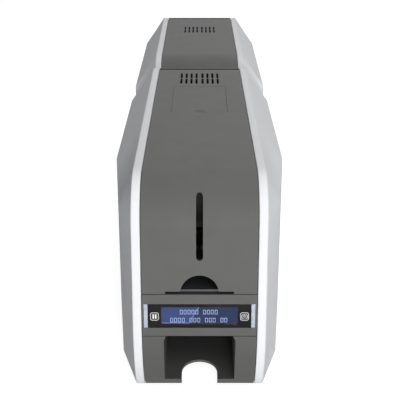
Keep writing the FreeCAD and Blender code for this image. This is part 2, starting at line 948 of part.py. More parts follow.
# Card input hopper
hopper_side_gap = 14.4
hopper_half = plate_inner - hopper_side_gap
hopper_wall = 2.0
hopper_drop = 16.4
hopper_top = body_height - hopper_drop
hopper_inset = 5.0
hopper_floor_top = 103.6
hopper_gate = 8.0
pickup_window_inset = 7.6
pickup_window_half = hopper_half - pickup_window_inset
pickup_window_run = 12.0
pickup_rubber_half = pickup_window_half - wall
hopper_ear_length = 16.0
hopper_ear_thickness = 3.0
weight_side_gap = 1.6
weight_half = hopper_half - weight_side_gap
weight_front = 44.0
weight_back = 110.0
weight_height = 8.0
weight_wall = 2.5
weight_travel = 60.0


def card_hopper():
    """Open box that holds the stack of blank cards over the pickup roller."""
    outer_half = hopper_half + hopper_wall
    side = panel_fill(hopper_half, outer_half, panel_high, hopper_top)
    floor = panel_fill(-outer_half, outer_half, panel_high, hopper_floor_top)
    gate_top = hopper_floor_top + hopper_gate
    back = box(-outer_half, outer_half, hopper_back - hopper_wall, hopper_back, gate_top, hopper_top)
    ear = box(outer_half - pin_play, plate_inner, hopper_back - hopper_ear_length, hopper_back,
              hopper_floor_top, hopper_floor_top + hopper_ear_thickness)
    body = joined([floor, back] + both_sides(side) + both_sides(ear))
    window = box(-pickup_window_half, pickup_window_half, pickup_back - pickup_window_run,
                 pickup_back + pickup_window_run, panel_high - overrun, hopper_floor_top + seam)
    return body.cut(window)


def panel_fill(x0, x1, z0, z1):
    """Block behind the front curve, from the hopper's inset back to its rear wall."""
    filled = block(printer, x0, x1, hopper_inset, 0, hopper_back)
    return filled.common(box(x0, x1, 0, hopper_back, z0, z1))


def card_weight():
    """Ribbed weight that rides on the stack of cards."""
    low = card_plane - card_gap * 2
    high = low + weight_height
    half_rib = weight_wall / 2
    slab = box(-weight_half, weight_half, weight_front, weight_back, low, high)
    hollow = box(-weight_half + weight_wall, weight_half - weight_wall, weight_front + weight_wall,
                 weight_back - weight_wall, low + weight_wall, high + overrun)
    rib = box(-half_rib, half_rib, weight_front, weight_back, low, high)
    middle = (weight_front + weight_back) / 2
    bar = box(-weight_half, weight_half, middle - half_rib, middle + half_rib, low, high)
    return joined([slab.cut(hollow), rib, bar])


# Inner frame


def chassis_outline(module):
    tail = module.tail - wall - seam - rim_thickness
    tower = tail - tower_run
    if module is printer:
        top = body_height - plate_drop
        step = plate_front + plate_step
        return [
            (plate_front, wall), (tail, wall), (tail, tower_height), (tower, tower_height),
            (tower, top), (step, top), (step, arm_high), (arm_front, arm_high),
            (arm_front, arm_low), (plate_front, arm_low),
        ]
    front = laminator_front + wall + seam
    top = body_height - slope_drop
    return [
        (front, wall), (tail, wall), (tail, tower_height), (tower, tower_height),
        (tower, top), (front + slope_run, top), (front, slope_low),
    ]


def chassis_plate(module, shaft_holes, motor_back, windows):
    """Right-hand frame plate with its foot flange, hinge ear, shaft holes and lightening windows."""
    outline = chassis_outline(module)
    plate = side_plate(outline, plate_inner, plate_outer)
    front, tail = outline[0][0] + flange_setback, outline[1][0]
    flange = box(plate_inner, plate_outer + flange_width, front, tail, wall, wall + plate_thickness)
    y, z = hinge_axis(module)
    neck = box(plate_inner, plate_outer, y - hinge_roll, y + seam, tower_height - seam, z)
    ear = rod_x(ear_radius, plate_inner, plate_outer, y, z)
    plate = joined([plate, flange, neck, ear])
    x0 = plate_inner - overrun
    x1 = plate_outer + overrun
    cuts = [rod_x(hinge_pin_radius + pin_play, x0, x1, y, z)]
    for hole_y, hole_z in shaft_holes:
        cuts.append(rod_x(shaft_radius + shaft_play, x0, x1, hole_y, hole_z))
    cuts.append(rod_x(motor_boss_radius, x0, x1, motor_back, motor_height))
    for y0, y1 in windows:
        cuts.append(box(x0, x1, y0, y1, window_low, window_high))
    return plate.cut(cuts)


printer_stations = (front_feed_back, rear_feed_back, exit_feed_back)
printer_shafts = [(back, roller_height) for back in printer_stations + (platen_back,)]
printer_shafts += [(back, pinch_height) for back in printer_stations[1:]]
pickup_height = card_plane - 2 * card_gap - seam - pickup_radius
cleaning_height = card_plane + card_gap + cleaning_radius
printer_shafts += [(pickup_back, pickup_height), (front_feed_back, cleaning_height)]
heat_radius = 14.0
heat_height = card_plane + card_gap + heat_radius
laminator_stations = (entry_feed_back, outlet_feed_back)
laminator_shafts = [(back, roller_height) for back in laminator_stations + (press_back,)]
laminator_shafts += [(back, pinch_height) for back in laminator_stations] + [(press_back, heat_height)]


def printer_plate():
    windows = [(along_printer(start), along_printer(end)) for start, end in printer_window_shares]
    return chassis_plate(printer, printer_shafts, platen_back, windows)


def laminator_plate():
    windows = [(along_laminator(start), along_laminator(end)) for start, end in laminator_window_shares]
    return chassis_plate(laminator, laminator_shafts, press_back, windows)


def pulley(y, z):
    """Belt wheel with two rims on the left end of a shaft."""
    x1 = -plate_outer - pulley_offset
    x0 = x1 - pulley_width - 2 * pulley_flange
    hub = rod_x(pulley_radius, x0, x1, y, z)
    left_rim = rod_x(flange_radius, x0, x0 + pulley_flange, y, z)
    right_rim = rod_x(flange_radius, x1 - pulley_flange, x1, y, z)
    return [hub, left_rim, right_rim]


def roller(radius, y, z, driven, rubber):
    """Rubber roller on a steel shaft, with a belt wheel where the belt drives it."""
    reach = plate_outer + pulley_offset / 2
    shaft = rod_x(shaft_radius, -reach, reach, y, z)
    parts = [shaft, rod_x(radius, -rubber, rubber, y, z)]
    if driven:
        parts.append(rod_x(shaft_radius, -reach - pulley_offset, -reach + pin_play, y, z))
        parts += pulley(y, z)
    return joined(parts)


def drive_belt(stations, motor_y):
    """Toothless belt loop round the end wheels and the motor wheel; the middle wheels touch its top run."""
    x1 = -plate_outer - pulley_offset - pulley_flange - roll_gap
    x0 = x1 - pulley_width + 2 * roll_gap
    corners = [
        V(x1, stations[0], roller_height),
        V(x1, stations[-1], roller_height),
        V(x1, motor_y, motor_height),
    ]
    middle = Part.makePolygon(corners + [corners[0]])
    inner = middle.makeOffset2D(pulley_radius + roll_gap)
    outer = middle.makeOffset2D(pulley_radius + roll_gap + belt_thickness)
    across = V(x0 - x1, 0, 0)
    return Part.Face(outer).extrude(across).cut(Part.Face(inner).extrude(across))


def drive_belts():
    printer_belt = drive_belt(printer_stations, platen_back)
    laminator_belt = drive_belt(laminator_stations, press_back)
    return Part.Compound([printer_belt, laminator_belt])


motor_shaft_radius = 2.5
motor_boss_height = 2.0


def motor(y):
    """Stepping motor on the inside of the left frame plate."""
    x0 = -plate_inner
    half = motor_size / 2
    body = box(x0, x0 + motor_length, y - half, y + half, motor_height - half, motor_height + half)
    body = body.makeChamfer(wall, [edge for edge in body.Edges if is_along_x(edge)])
    bore = rod_x(motor_shaft_radius + shaft_play, x0 - overrun, x0 + motor_length - wall, y, motor_height)
    boss = rod_x(motor_boss_radius - seam, x0 - motor_boss_height + seam, x0 + seam, y, motor_height)
    return joined([body, boss]).cut(bore)


def is_along_x(edge):
    start, end = edge.Vertexes[0].Point, edge.Vertexes[-1].Point
    return abs(start.y - end.y) < seam / 10 and abs(start.z - end.z) < seam / 10


def motor_wheel(y):
    start = -plate_outer - pulley_offset - pulley_flange
    shaft = rod_x(motor_shaft_radius, start, motor_length / 2 - plate_inner, y, motor_height)
    return joined([shaft] + pulley(y, motor_height))


def card_guide(y0, y1, rollers):
    """Thin plate under the card path with windows for the lower rollers."""
    top = card_plane - guide_drop
    plate = box(-plate_inner, plate_inner, y0, y1, top - guide_thickness, top)
    cuts = []
    for back in rollers:
        cuts.append(box(-exit_half, exit_half, back - drive_radius, back + drive_radius,
                        top - overrun, top + overrun))
    return plate.cut(cuts)


def lamination_guide():
    y0 = laminator_front + wall + seam
    return card_guide(y0, laminator_tail - wall - seam, laminator_stations + (press_back,))


def card_guides():
    printer_rollers = printer_stations + (platen_back,)
    front = card_guide(hopper_back + wall, printer_tail - wall - seam, printer_rollers)
    return Part.Compound([front, lamination_guide()])


# Ribbon and film cassettes
cassette_plate = 2.7
spool_shaft_radius = 4.0
spool_flange = 1.6
spool_inset = 8.0
spool_half = plate_inner - spool_inset
takeup_back = along_printer(takeup_share)
supply_back = along_printer(supply_share)
ribbon_height = 140.0
takeup_radius = 9.0
takeup_flange = 12.0
supply_radius = 15.0
supply_flange = 18.0
ribbon_cheek = 16.0
film_supply_back = along_laminator(film_supply_share)
film_takeup_back = along_laminator(film_takeup_share)
film_height_share = 0.52
film_height = card_plane + film_height_share * (body_height - card_plane)
film_supply_radius = 15.0
film_takeup_radius = 10.0
film_cheek = 14.0
cross_bar = 3.0
bar_gap = 1.0
cheek_corner = 8.0
film_flange = 2.5
film_supply_flange = film_supply_radius + film_flange
film_takeup_flange = film_takeup_radius + film_flange


def cassette(front_back, front_flange, rear_back, rear_flange, height, cheek):
    """Two rounded cheeks with spool bearings, tied by a bar at each end."""
    x1 = plate_inner - seam
    x0 = x1 - cassette_plate
    y0 = front_back - front_flange - bar_gap - cross_bar
    y1 = rear_back + rear_flange + bar_gap + cross_bar
    plate = box(x0, x1, y0, y1, height - cheek, height + cheek)
    plate = plate.makeFillet(cheek_corner, [edge for edge in plate.Edges if is_along_x(edge)])
    for back in (front_back, rear_back):
        plate = plate.cut(rod_x(spool_shaft_radius + shaft_play, x0 - overrun, x1 + overrun, back, height))
    bars = []
    for start in (y0, y1 - cross_bar):
        bars.append(box(-x0, x0, start, start + cross_bar, height - cross_bar, height + cross_bar))
    return joined(both_sides(plate) + bars)


def spool(back, height, wound, flange):
    """Core with the wound ribbon between two flanges."""
    reach = plate_inner - seam
    core = rod_x(spool_shaft_radius, -reach, reach, back, height)
    roll = rod_x(wound, -spool_half + spool_flange, spool_half - spool_flange, back, height)
    rims = []
    for x in (-spool_half, spool_half - spool_flange):
        rims.append(rod_x(flange, x, x + spool_flange, back, height))
    return joined([core, roll] + rims)


# Fan under the printer's vents
fan_half = 25.0
fan_drop = 32.4
fan_low = body_height - fan_drop
fan_depth = 15.0
fan_bore = 23.0
fan_hub = 9.0
fan_tip_gap = 1.0
fan_blades = 7
blade_thickness = 1.2
blade_pitch = 34.0
fan_bracket = 1.5
fan_back = (vent_start + vent_end) / 2
strut = 2.0


def fan_housing():
    """Square fan frame with struts to its motor cup, on a sheet bracket between the frame plates."""
    front, rear = fan_back - fan_half, fan_back + fan_half
    frame = box(-fan_half, fan_half, front, rear, fan_low, fan_low + fan_depth)
    bore = rod_z(fan_bore, fan_low - overrun, fan_low + fan_depth + overrun, 0, fan_back)
    reach = fan_bore + seam
    struts = [
        box(-reach, reach, fan_back - strut / 2, fan_back + strut / 2, fan_low, fan_low + strut),
        box(-strut / 2, strut / 2, fan_back - reach, fan_back + reach, fan_low, fan_low + strut),
        rod_z(fan_hub, fan_low, fan_low + strut, 0, fan_back),
    ]
    sheet = box(-plate_inner, plate_inner, front, rear, fan_low - fan_bracket, fan_low)
    return joined([joined([frame, sheet]).cut(bore)] + struts)


def fan_rotor():
    low = fan_low + strut + seam
    high = fan_low + fan_depth - seam
    hub = rod_z(fan_hub, low, high, 0, fan_back)
    blades = []
    for index in range(fan_blades):
        blade = box(fan_hub - strut, fan_bore - fan_tip_gap, -blade_thickness / 2, blade_thickness / 2,
                    low + wall, high - wall)
        blade.rotate(V(0, 0, (low + high) / 2), V(1, 0, 0), blade_pitch)
        blade.rotate(V(0, 0, 0), V(0, 0, 1), index * 360 / fan_blades)
        blade.translate(V(0, fan_back, 0))
        blades.append(blade)
    return joined([hub] + blades)


# Circuit boards
chip_height = 2.0
chip_shares = (
    (0.30, 0.25, 0.22), (0.68, 0.30, 0.16), (0.50, 0.62, 0.18), (0.25, 0.80, 0.12), (0.78, 0.75, 0.14),
)
connector_height = 9.0
header_share = 0.125
header_count = 3


def circuit_board(place):
    """Board on four posts with square chips and a row of plug headers."""
    y0, y1 = place
    x0, x1 = -board_half, board_half
    low = wall + board_standoff
    top = low + board_thickness
    parts = [box(x0, x1, y0, y1, low, top)]
    width = x1 - x0
    for along, back, size in chip_shares:
        side = size * width
        x = x0 + along * width - side / 2
        y = y0 + back * (y1 - y0) - side / 2
        parts.append(box(x, x + side, y, y + side, top, top + chip_height))
    header = width * header_share
    for index in range(header_count):
        x = x0 + header + index * 2 * header
        parts.append(box(x, x + header, y1 - header, y1 - header / 2, top, top + connector_height))
    return joined(parts)


# Heater of the laminator
hood_gap = 1.5
hood_thickness = 1.5
hood_strip = 5.0


def heater_hood():
    """Half-round guard over the heat roller, with a strip along each foot out to the frame plates."""
    inner = heat_radius + hood_gap
    outer = inner + hood_thickness
    reach = plate_inner - cassette_plate - 2 * seam
    ring = rod_x(outer, -reach, reach, press_back, heat_height)
    ring = ring.cut(rod_x(inner, -reach - overrun, reach + overrun, press_back, heat_height))
    upper = box(-reach, reach, press_back - outer, press_back + outer, heat_height, heat_height + outer)
    strips = []
    for y in (press_back - outer, press_back + inner):
        strips.append(box(-plate_inner, plate_inner, y, y + hood_thickness,
                          heat_height - hood_strip, heat_height + pin_play))
    return joined([ring.common(upper)] + strips)


def power_inlet():
    """Mains inlet with its flange, three blades, and the frame of the rocker switch above it."""
    x = inlet_centre
    y1 = laminator_tail
    face = y1 + screw_head
    flange = centred(x, inlet_width, y1, face, inlet_height, inlet_tall, inlet_flange)
    body = centred(x, inlet_width, y1 - inlet_depth, y1 + pin_play, inlet_height, inlet_tall, 0)
    socket_start = face - socket_depth
    socket = centred(x, socket_width, socket_start, face + overrun, inlet_height, socket_tall, 0)
    corners = [edge for edge in socket.Edges if is_along_y(edge)]
    upper = [edge for edge in corners if edge.Vertexes[0].Point.z > inlet_height]
    socket = socket.makeChamfer(socket_corner, upper)
    prongs = []
    start = socket_start - pin_play
    for step, lift in ((-1, -1), (0, 1), (1, -1)):
        z = inlet_height + lift * prong_step / 2
        prongs.append(centred(x + step * prong_pitch, prong_width, start, start + prong_length,
                              z, prong_tall, 0))
    inlet = joined([joined([flange, body]).cut(socket)] + prongs)
    outer = centred(x, switch_width, y1, face, switch_height, switch_tall, switch_frame)
    cup_start = y1 - switch_depth
    cup = centred(x, switch_width, cup_start, y1 + pin_play, switch_height, switch_tall, 0)
    room = centred(x, switch_width, cup_start + switch_frame, y1 + overrun,
                   switch_height, switch_tall, -switch_frame)
    half = switch_width / 2
    pivot = rod_x(hatch_pin_radius, x - half, x + half, rocker_pivot_back, switch_height)
    return Part.Compound([inlet, joined([joined([outer, cup]).cut(room), pivot])])


def power_switch():
    """Rocker with a shallow V face, turning on the pin in its frame."""
    half_x = switch_width / 2 - switch_frame - rocker_gap
    half_z = switch_tall / 2 - switch_frame - 3 * rocker_gap
    face = laminator_tail + screw_head
    back = rocker_pivot_back - wall
    outline = [
        (back, -wall), (back, wall), (face - wall, half_z), (face + rocker_gap, half_z),
        (face - rocker_gap * 2, 0), (face + rocker_gap, -half_z), (face - wall, -half_z),
    ]
    points = [(y, switch_height + z) for y, z in outline]
    body = side_plate(points, inlet_centre - half_x, inlet_centre + half_x)
    hole = rod_x(hatch_pin_radius + shaft_play, inlet_centre - switch_width, inlet_centre + switch_width,
                 rocker_pivot_back, switch_height)
    rocker = body.cut(hole)
    rocker.rotate(V(0, rocker_pivot_back, switch_height), V(1, 0, 0), switch_tilt)
    return rocker


def data_ports():
    """Square data socket with its tongue, and a network socket."""
    y1 = laminator_tail
    y0 = y1 - usb_depth
    x = ports_centre
    usb = centred(x, usb_width, y0, y1, usb_height, usb_tall, 0)
    mouth = centred(x, usb_mouth_width, y0 + wall, y1 + overrun, usb_height, usb_mouth_tall, 0)
    tongue = centred(x, usb_tongue_width, y0 + wall / 2, y1 - wall / 2, usb_height, usb_tongue_tall, 0)
    network = centred(x, network_width, y0, y1, network_height, network_tall, 0)
    start = y1 - network_mouth_depth
    opening = centred(x, network_mouth_width, start, y1 + overrun, network_height, network_mouth_tall, 0)
    return Part.Compound([joined([usb.cut(mouth), tongue]), network.cut(opening)])


def rear_screws():
    screws = []
    middle = laminator_tail + screw_head / 2
    for x, z in screw_places():
        head = rod_y(screw_radius, laminator_tail, laminator_tail + screw_head, x, z)
        rim = [edge for edge in head.Edges if edge.Closed and edge.Vertexes[0].Point.y > middle]
        head = head.makeChamfer(screw_head / 2, rim)
        shank = rod_y(screw_shank, laminator_tail - screw_reach, laminator_tail + pin_play, x, z)
        screws.append(joined([head, shank]))
    return Part.Compound(screws)


foot_inset = 24.5
foot_half = half_width - foot_inset


def rubber_feet():
    feet = []
    places = [along_printer(share) for share in printer_feet_shares]
    places += [along_laminator(share) for share in laminator_feet_shares]
    for back in places:
        for x in (-foot_half, foot_half):
            foot = rod_z(foot_radius, -foot_height, 0, x, back)
            middle = -foot_height / 2
            rim = [edge for edge in foot.Edges if edge.Closed and edge.Vertexes[0].Point.z < middle]
            feet.append(foot.makeChamfer(foot_height / 4, rim))
    return Part.Compound(feet)


def pinch(back):
    return roller(pinch_radius, back, pinch_height, False, rubber_half)


def feed(back):
    return roller(drive_radius, back, roller_height, True, rubber_half)


def ribbon_cassette():
    return cassette(takeup_back, takeup_flange, supply_back, supply_flange, ribbon_height, ribbon_cheek)


def film_cassette():
    return cassette(film_supply_back, film_supply_flange, film_takeup_back, film_takeup_flange,
                    film_height, film_cheek)


def build_nodes():
    printer_side = side_cover(printer)
    laminator_side = side_cover(laminator)
    feed_places = {
        "front_feed_roller": front_feed_back,
        "platen_roller": platen_back,
        "rear_feed_roller": rear_feed_back,
        "exit_feed_roller": exit_feed_back,
        "laminator_entry_roller": entry_feed_back,
        "pressure_roller": press_back,
        "laminator_outlet_roller": outlet_feed_back,
    }
    pinch_places = {
        "rear_pinch_roller": rear_feed_back,
        "exit_pinch_roller": exit_feed_back,
        "laminator_entry_pinch_roller": entry_feed_back,
        "laminator_outlet_pinch_roller": outlet_feed_back,
    }
    nodes = {
        "printer_base_tray": printer_tray(),
        "printer_side_cover_right": printer_side,
        "printer_side_cover_left": mirrored(printer_side),
        "printer_rear_panel": printer_back(),
        "output_pocket": output_pocket(),
        "control_panel": control_panel(),
        "display_bezel": bezel(),
        "display_screen": screen(),
        "status_light_bars": light_bars(),
        "left_button": button(-button_centre),
        "right_button": button(button_centre),
        "printer_top_cover": printer_cover(),
        "top_hatch": hatch(),
        "cover_hinge_pins": hinge_pins(),
        "print_head": Part.Compound([head_bracket(), print_head()]),
        "card_hopper": card_hopper(),
        "card_weight": card_weight(),
        "printer_frame_plates": Part.Compound(both_sides(printer_plate())),
        "card_guides": card_guides(),
        "pickup_roller": roller(pickup_radius, pickup_back, pickup_height, False, pickup_rubber_half),
        "cleaning_roller": roller(cleaning_radius, front_feed_back, cleaning_height, False, rubber_half),
        "drive_motors": Part.Compound([motor(platen_back), motor(press_back)]),
        "printer_motor_wheel": motor_wheel(platen_back),
        "laminator_motor_wheel": motor_wheel(press_back),
        "drive_belts": drive_belts(),
        "ribbon_cassette": ribbon_cassette(),
        "ribbon_takeup_spool": spool(takeup_back, ribbon_height, takeup_radius, takeup_flange),
        "ribbon_supply_spool": spool(supply_back, ribbon_height, supply_radius, supply_flange),
        "fan_housing": fan_housing(),
        "fan_rotor": fan_rotor(),
        "printer_main_board": circuit_board(printer_board),
        "docking_frame": docking_frame(),
        "laminator_base_tray": laminator_tray(),
        "laminator_side_cover_right": laminator_side,
        "laminator_side_cover_left": mirrored(laminator_side),
        "laminator_front_panel": laminator_front_panel(),
        "laminator_rear_panel": laminator_back(),
        "laminator_top_cover": laminator_cover(),
        "laminator_frame_plates": Part.Compound(both_sides(laminator_plate())),
        "heat_roller": roller(heat_radius, press_back, heat_height, False, rubber_half + wall),
        "heater_hood": heater_hood(),
        "film_cassette": film_cassette(),
        "film_supply_spool": spool(film_supply_back, film_height, film_supply_radius, film_supply_flange),
        "film_takeup_spool": spool(film_takeup_back, film_height, film_takeup_radius, film_takeup_flange),
        "power_inlet": power_inlet(),
        "power_switch": power_switch(),
        "data_ports": data_ports(),
        "rear_screws": rear_screws(),
        "rubber_feet": rubber_feet(),
    }
    for name, back in feed_places.items():
        nodes[name] = feed(back)
    for name, back in pinch_places.items():
        nodes[name] = pinch(back)
    return nodes


def write_nodes(nodes):
    os.makedirs("parts", exist_ok=True)
    for name, shape in nodes.items():
        placed = shape.copy()
        placed.translate(V(0, -total_length / 2, foot_height))
        placed.exportStep("parts/" + name + ".step")


write_nodes(build_nodes())
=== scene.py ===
import json
import math
from collections import namedtuple

import bmesh
import bpy
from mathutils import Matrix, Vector


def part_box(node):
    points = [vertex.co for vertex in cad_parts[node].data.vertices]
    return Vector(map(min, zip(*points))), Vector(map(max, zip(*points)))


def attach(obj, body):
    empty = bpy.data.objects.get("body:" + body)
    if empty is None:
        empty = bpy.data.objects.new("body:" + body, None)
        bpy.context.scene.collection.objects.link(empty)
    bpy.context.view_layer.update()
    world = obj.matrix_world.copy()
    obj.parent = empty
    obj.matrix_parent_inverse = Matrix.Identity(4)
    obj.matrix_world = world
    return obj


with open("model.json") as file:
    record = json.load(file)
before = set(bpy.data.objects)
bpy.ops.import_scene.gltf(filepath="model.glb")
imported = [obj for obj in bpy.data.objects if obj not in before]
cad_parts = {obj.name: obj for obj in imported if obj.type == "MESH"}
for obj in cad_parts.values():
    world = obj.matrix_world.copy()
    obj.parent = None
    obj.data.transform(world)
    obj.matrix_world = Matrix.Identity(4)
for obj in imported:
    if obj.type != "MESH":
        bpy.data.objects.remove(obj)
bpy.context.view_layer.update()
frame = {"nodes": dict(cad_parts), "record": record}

nodes = frame["nodes"]
record = frame["record"]

# The source counts millimetres back from the nose and up from the underside of the housings
MM = 0.001
HALF_LENGTH = 356.5
FOOT_HEIGHT = 3.6

# Camera, from the photograph's perspective, in metres
FOCAL_PIXELS = 770.0
IMAGE_PIXELS = 400.0
SENSOR = 36.0
CAMERA_PLACE = Vector((0.0, -0.9243, 0.4609))
CAMERA_PITCH = math.radians(24.75)
CAMERA_SHIFT = 0.0012
CAMERA_REACH = 20.0

# The leaning front of the printer, as in the source
LEAN = math.radians(10.5)
WAIST_RADIUS = 150.0
NOSE_HEIGHT = 52.0
BUTTON_CENTRE = 39.5
BUTTON_HEIGHT = 81.8
BUTTON_PROUD = 0.4
SCREEN_INSET = 1.25

# Places along the width that part rubber, shaft and wheel on one roller
RUBBER_HALF = 28.0
SHEET_HALF = 43.6
ROLLER_REACH = 200.0
SPOOL_HALF = 34.0
SPOOL_FLANGE = 1.6

# Top of the housings and the thickness of their covers
BODY_HEIGHT = 198.4
COVER_WALL = 2.5


def place_of(x, y, z):
    """A place given in the source's millimetres, in the frame's metres."""
    return Vector((x * MM, (y - HALF_LENGTH) * MM, (z + FOOT_HEIGHT) * MM))


def level(z):
    """A height given in the source's millimetres, in the frame's metres."""
    return place_of(0.0, 0.0, z).z


# Camera, light and floor


def add_camera():
    data = bpy.data.cameras.new("camera")
    data.sensor_width = SENSOR
    data.lens = FOCAL_PIXELS / IMAGE_PIXELS * SENSOR
    data.shift_x = CAMERA_SHIFT
    data.clip_end = CAMERA_REACH
    camera = bpy.data.objects.new("camera", data)
    camera.location = CAMERA_PLACE
    camera.rotation_euler = (math.pi / 2 - CAMERA_PITCH, 0.0, 0.0)
    bpy.context.scene.collection.objects.link(camera)
    bpy.context.scene.camera = camera


# Each lamp's place, target and size in metres, and its power in watts, then the world's fill
# light and the white that the camera sees
LAMPS = {
    "front_soft": ((0.15, -2.2, 0.25), (0.0, -0.3, 0.1), (0.4, 0.4), 38.0),
    "front_high": ((0.3, -1.5, 1.4), (0.0, -0.2, 0.1), (0.8, 0.8), 18.4),
    "top_soft": ((0.35, 0.25, 1.6), (0.0, 0.0, 0.1), (1.2, 1.2), 18.0),
    "side_right": ((1.8, -0.5, 0.5), (0.0, 0.0, 0.1), (1.0, 1.0), 3.4),
    "back_left": ((-1.6, 1.6, 0.9), (0.0, 0.1, 0.1), (1.0, 1.0), 5.0),
    "back_right": ((1.6, 1.6, 0.9), (0.0, 0.1, 0.1), (1.0, 1.0), 4.0),
    "back_soft": ((0.4, 2.2, 0.9), (0.0, 0.3, 0.1), (1.2, 0.8), 2.0),
}
WORLD_FILL = 0.09
WORLD_WHITE = 1.0


def add_lamps():
    for name, (place, target, size, power) in LAMPS.items():
        data = bpy.data.lights.new(name, "AREA")
        data.shape = "RECTANGLE"
        data.size, data.size_y = size
        data.energy = power
        lamp = bpy.data.objects.new(name, data)
        lamp.location = place
        way = Vector(target) - Vector(place)
        lamp.rotation_euler = way.to_track_quat("-Z", "Y").to_euler()
        bpy.context.scene.collection.objects.link(lamp)


def seen_directly(tree):
    """1 for camera, mirror and see-through rays, 0 for light that falls on other things."""
    path = tree.nodes.new("ShaderNodeLightPath")
    value = path.outputs["Is Camera Ray"]
    for name in ("Is Glossy Ray", "Is Transmission Ray"):
        larger = tree.nodes.new("ShaderNodeMath")
        larger.operation = "MAXIMUM"
        tree.links.new(value, larger.inputs[0])
        tree.links.new(path.outputs[name], larger.inputs[1])
        value = larger.outputs[0]
    return value


def add_world():
    world = bpy.data.worlds.new("world")
    bpy.context.scene.world = world
    world.use_nodes = True
    tree = world.node_tree
    tree.nodes.clear()
    mix = tree.nodes.new("ShaderNodeMixShader")
    tree.links.new(seen_directly(tree), mix.inputs[0])
    for index, strength in ((1, WORLD_FILL), (2, WORLD_WHITE)):
        light = tree.nodes.new("ShaderNodeBackground")
        light.inputs["Color"].default_value = (1.0, 1.0, 1.0, 1.0)
        light.inputs["Strength"].default_value = strength
        tree.links.new(light.outputs[0], mix.inputs[index])
    out = tree.nodes.new("ShaderNodeOutputWorld")
    tree.links.new(mix.outputs[0], out.inputs["Surface"])


# The floor's half size in metres, its cells and its drop below the feet in millimetres, then its
# glow and tone as the camera sees it and the share of light that it throws back
FLOOR_HALF = 5.0
FLOOR_CELLS = 8
FLOOR_DROP = 0.05
FLOOR_GLOW = 0.88
FLOOR_PALE = 0.25
FLOOR_BOUNCE = 0.6


def add_floor():
    """Pale floor that looks white to the camera and keeps the part's soft shadow."""
    shape = bmesh.new()
    cells = FLOOR_CELLS
    bmesh.ops.create_grid(shape, x_segments=cells, y_segments=cells, size=FLOOR_HALF)
    mesh = bpy.data.meshes.new("floor")
    shape.to_mesh(mesh)
    shape.free()
    floor = bpy.data.objects.new("floor", mesh)
    floor.location = (0.0, 0.0, -FLOOR_DROP * MM)
    bpy.context.scene.collection.objects.link(floor)
    material = bpy.data.materials.new("floor_paper")
    material.use_nodes = True
    tree = material.node_tree
    tree.nodes.clear()
    seen = tree.nodes.new("ShaderNodeBsdfDiffuse")
    seen.inputs["Color"].default_value = (FLOOR_PALE, FLOOR_PALE, FLOOR_PALE, 1.0)
    glow = tree.nodes.new("ShaderNodeEmission")
    glow.inputs["Strength"].default_value = FLOOR_GLOW
    both = tree.nodes.new("ShaderNodeAddShader")
    tree.links.new(seen.outputs[0], both.inputs[0])
    tree.links.new(glow.outputs[0], both.inputs[1])
    bounce = tree.nodes.new("ShaderNodeBsdfDiffuse")
    bounce.inputs["Color"].default_value = (FLOOR_BOUNCE, FLOOR_BOUNCE, FLOOR_BOUNCE, 1.0)
    mix = tree.nodes.new("ShaderNodeMixShader")
    tree.links.new(seen_directly(tree), mix.inputs[0])
    tree.links.new(bounce.outputs[0], mix.inputs[1])
    tree.links.new(both.outputs[0], mix.inputs[2])
    out = tree.nodes.new("ShaderNodeOutputMaterial")
    tree.links.new(mix.outputs[0], out.inputs["Surface"])
    mesh.materials.append(material)


# Materials


def linear(red, green, blue):
    """A colour named by its 0 to 255 screen values, as the linear values that shaders take."""
    values = []
    for value in (red, green, blue):
        share = value / 255
        values.append(share / 12.92 if share <= 0.04045 else ((share + 0.055) / 1.055) ** 2.4)
    return tuple(values)


# A finish is a colour with its share of light and dark blotches, its roughness and its metal share
Finish = namedtuple("Finish", "color mottle rough metal", defaults=(0.05, 0.5, 0.0))


# How well the softened normal agrees with the flat one where an edge's wear and painted
# highlight start and are full
EDGE_SPAN = 0.98, 0.80
# The part of the raw noise that is stretched to run from 0 to 1
NOISE_SPAN = 0.3, 0.7


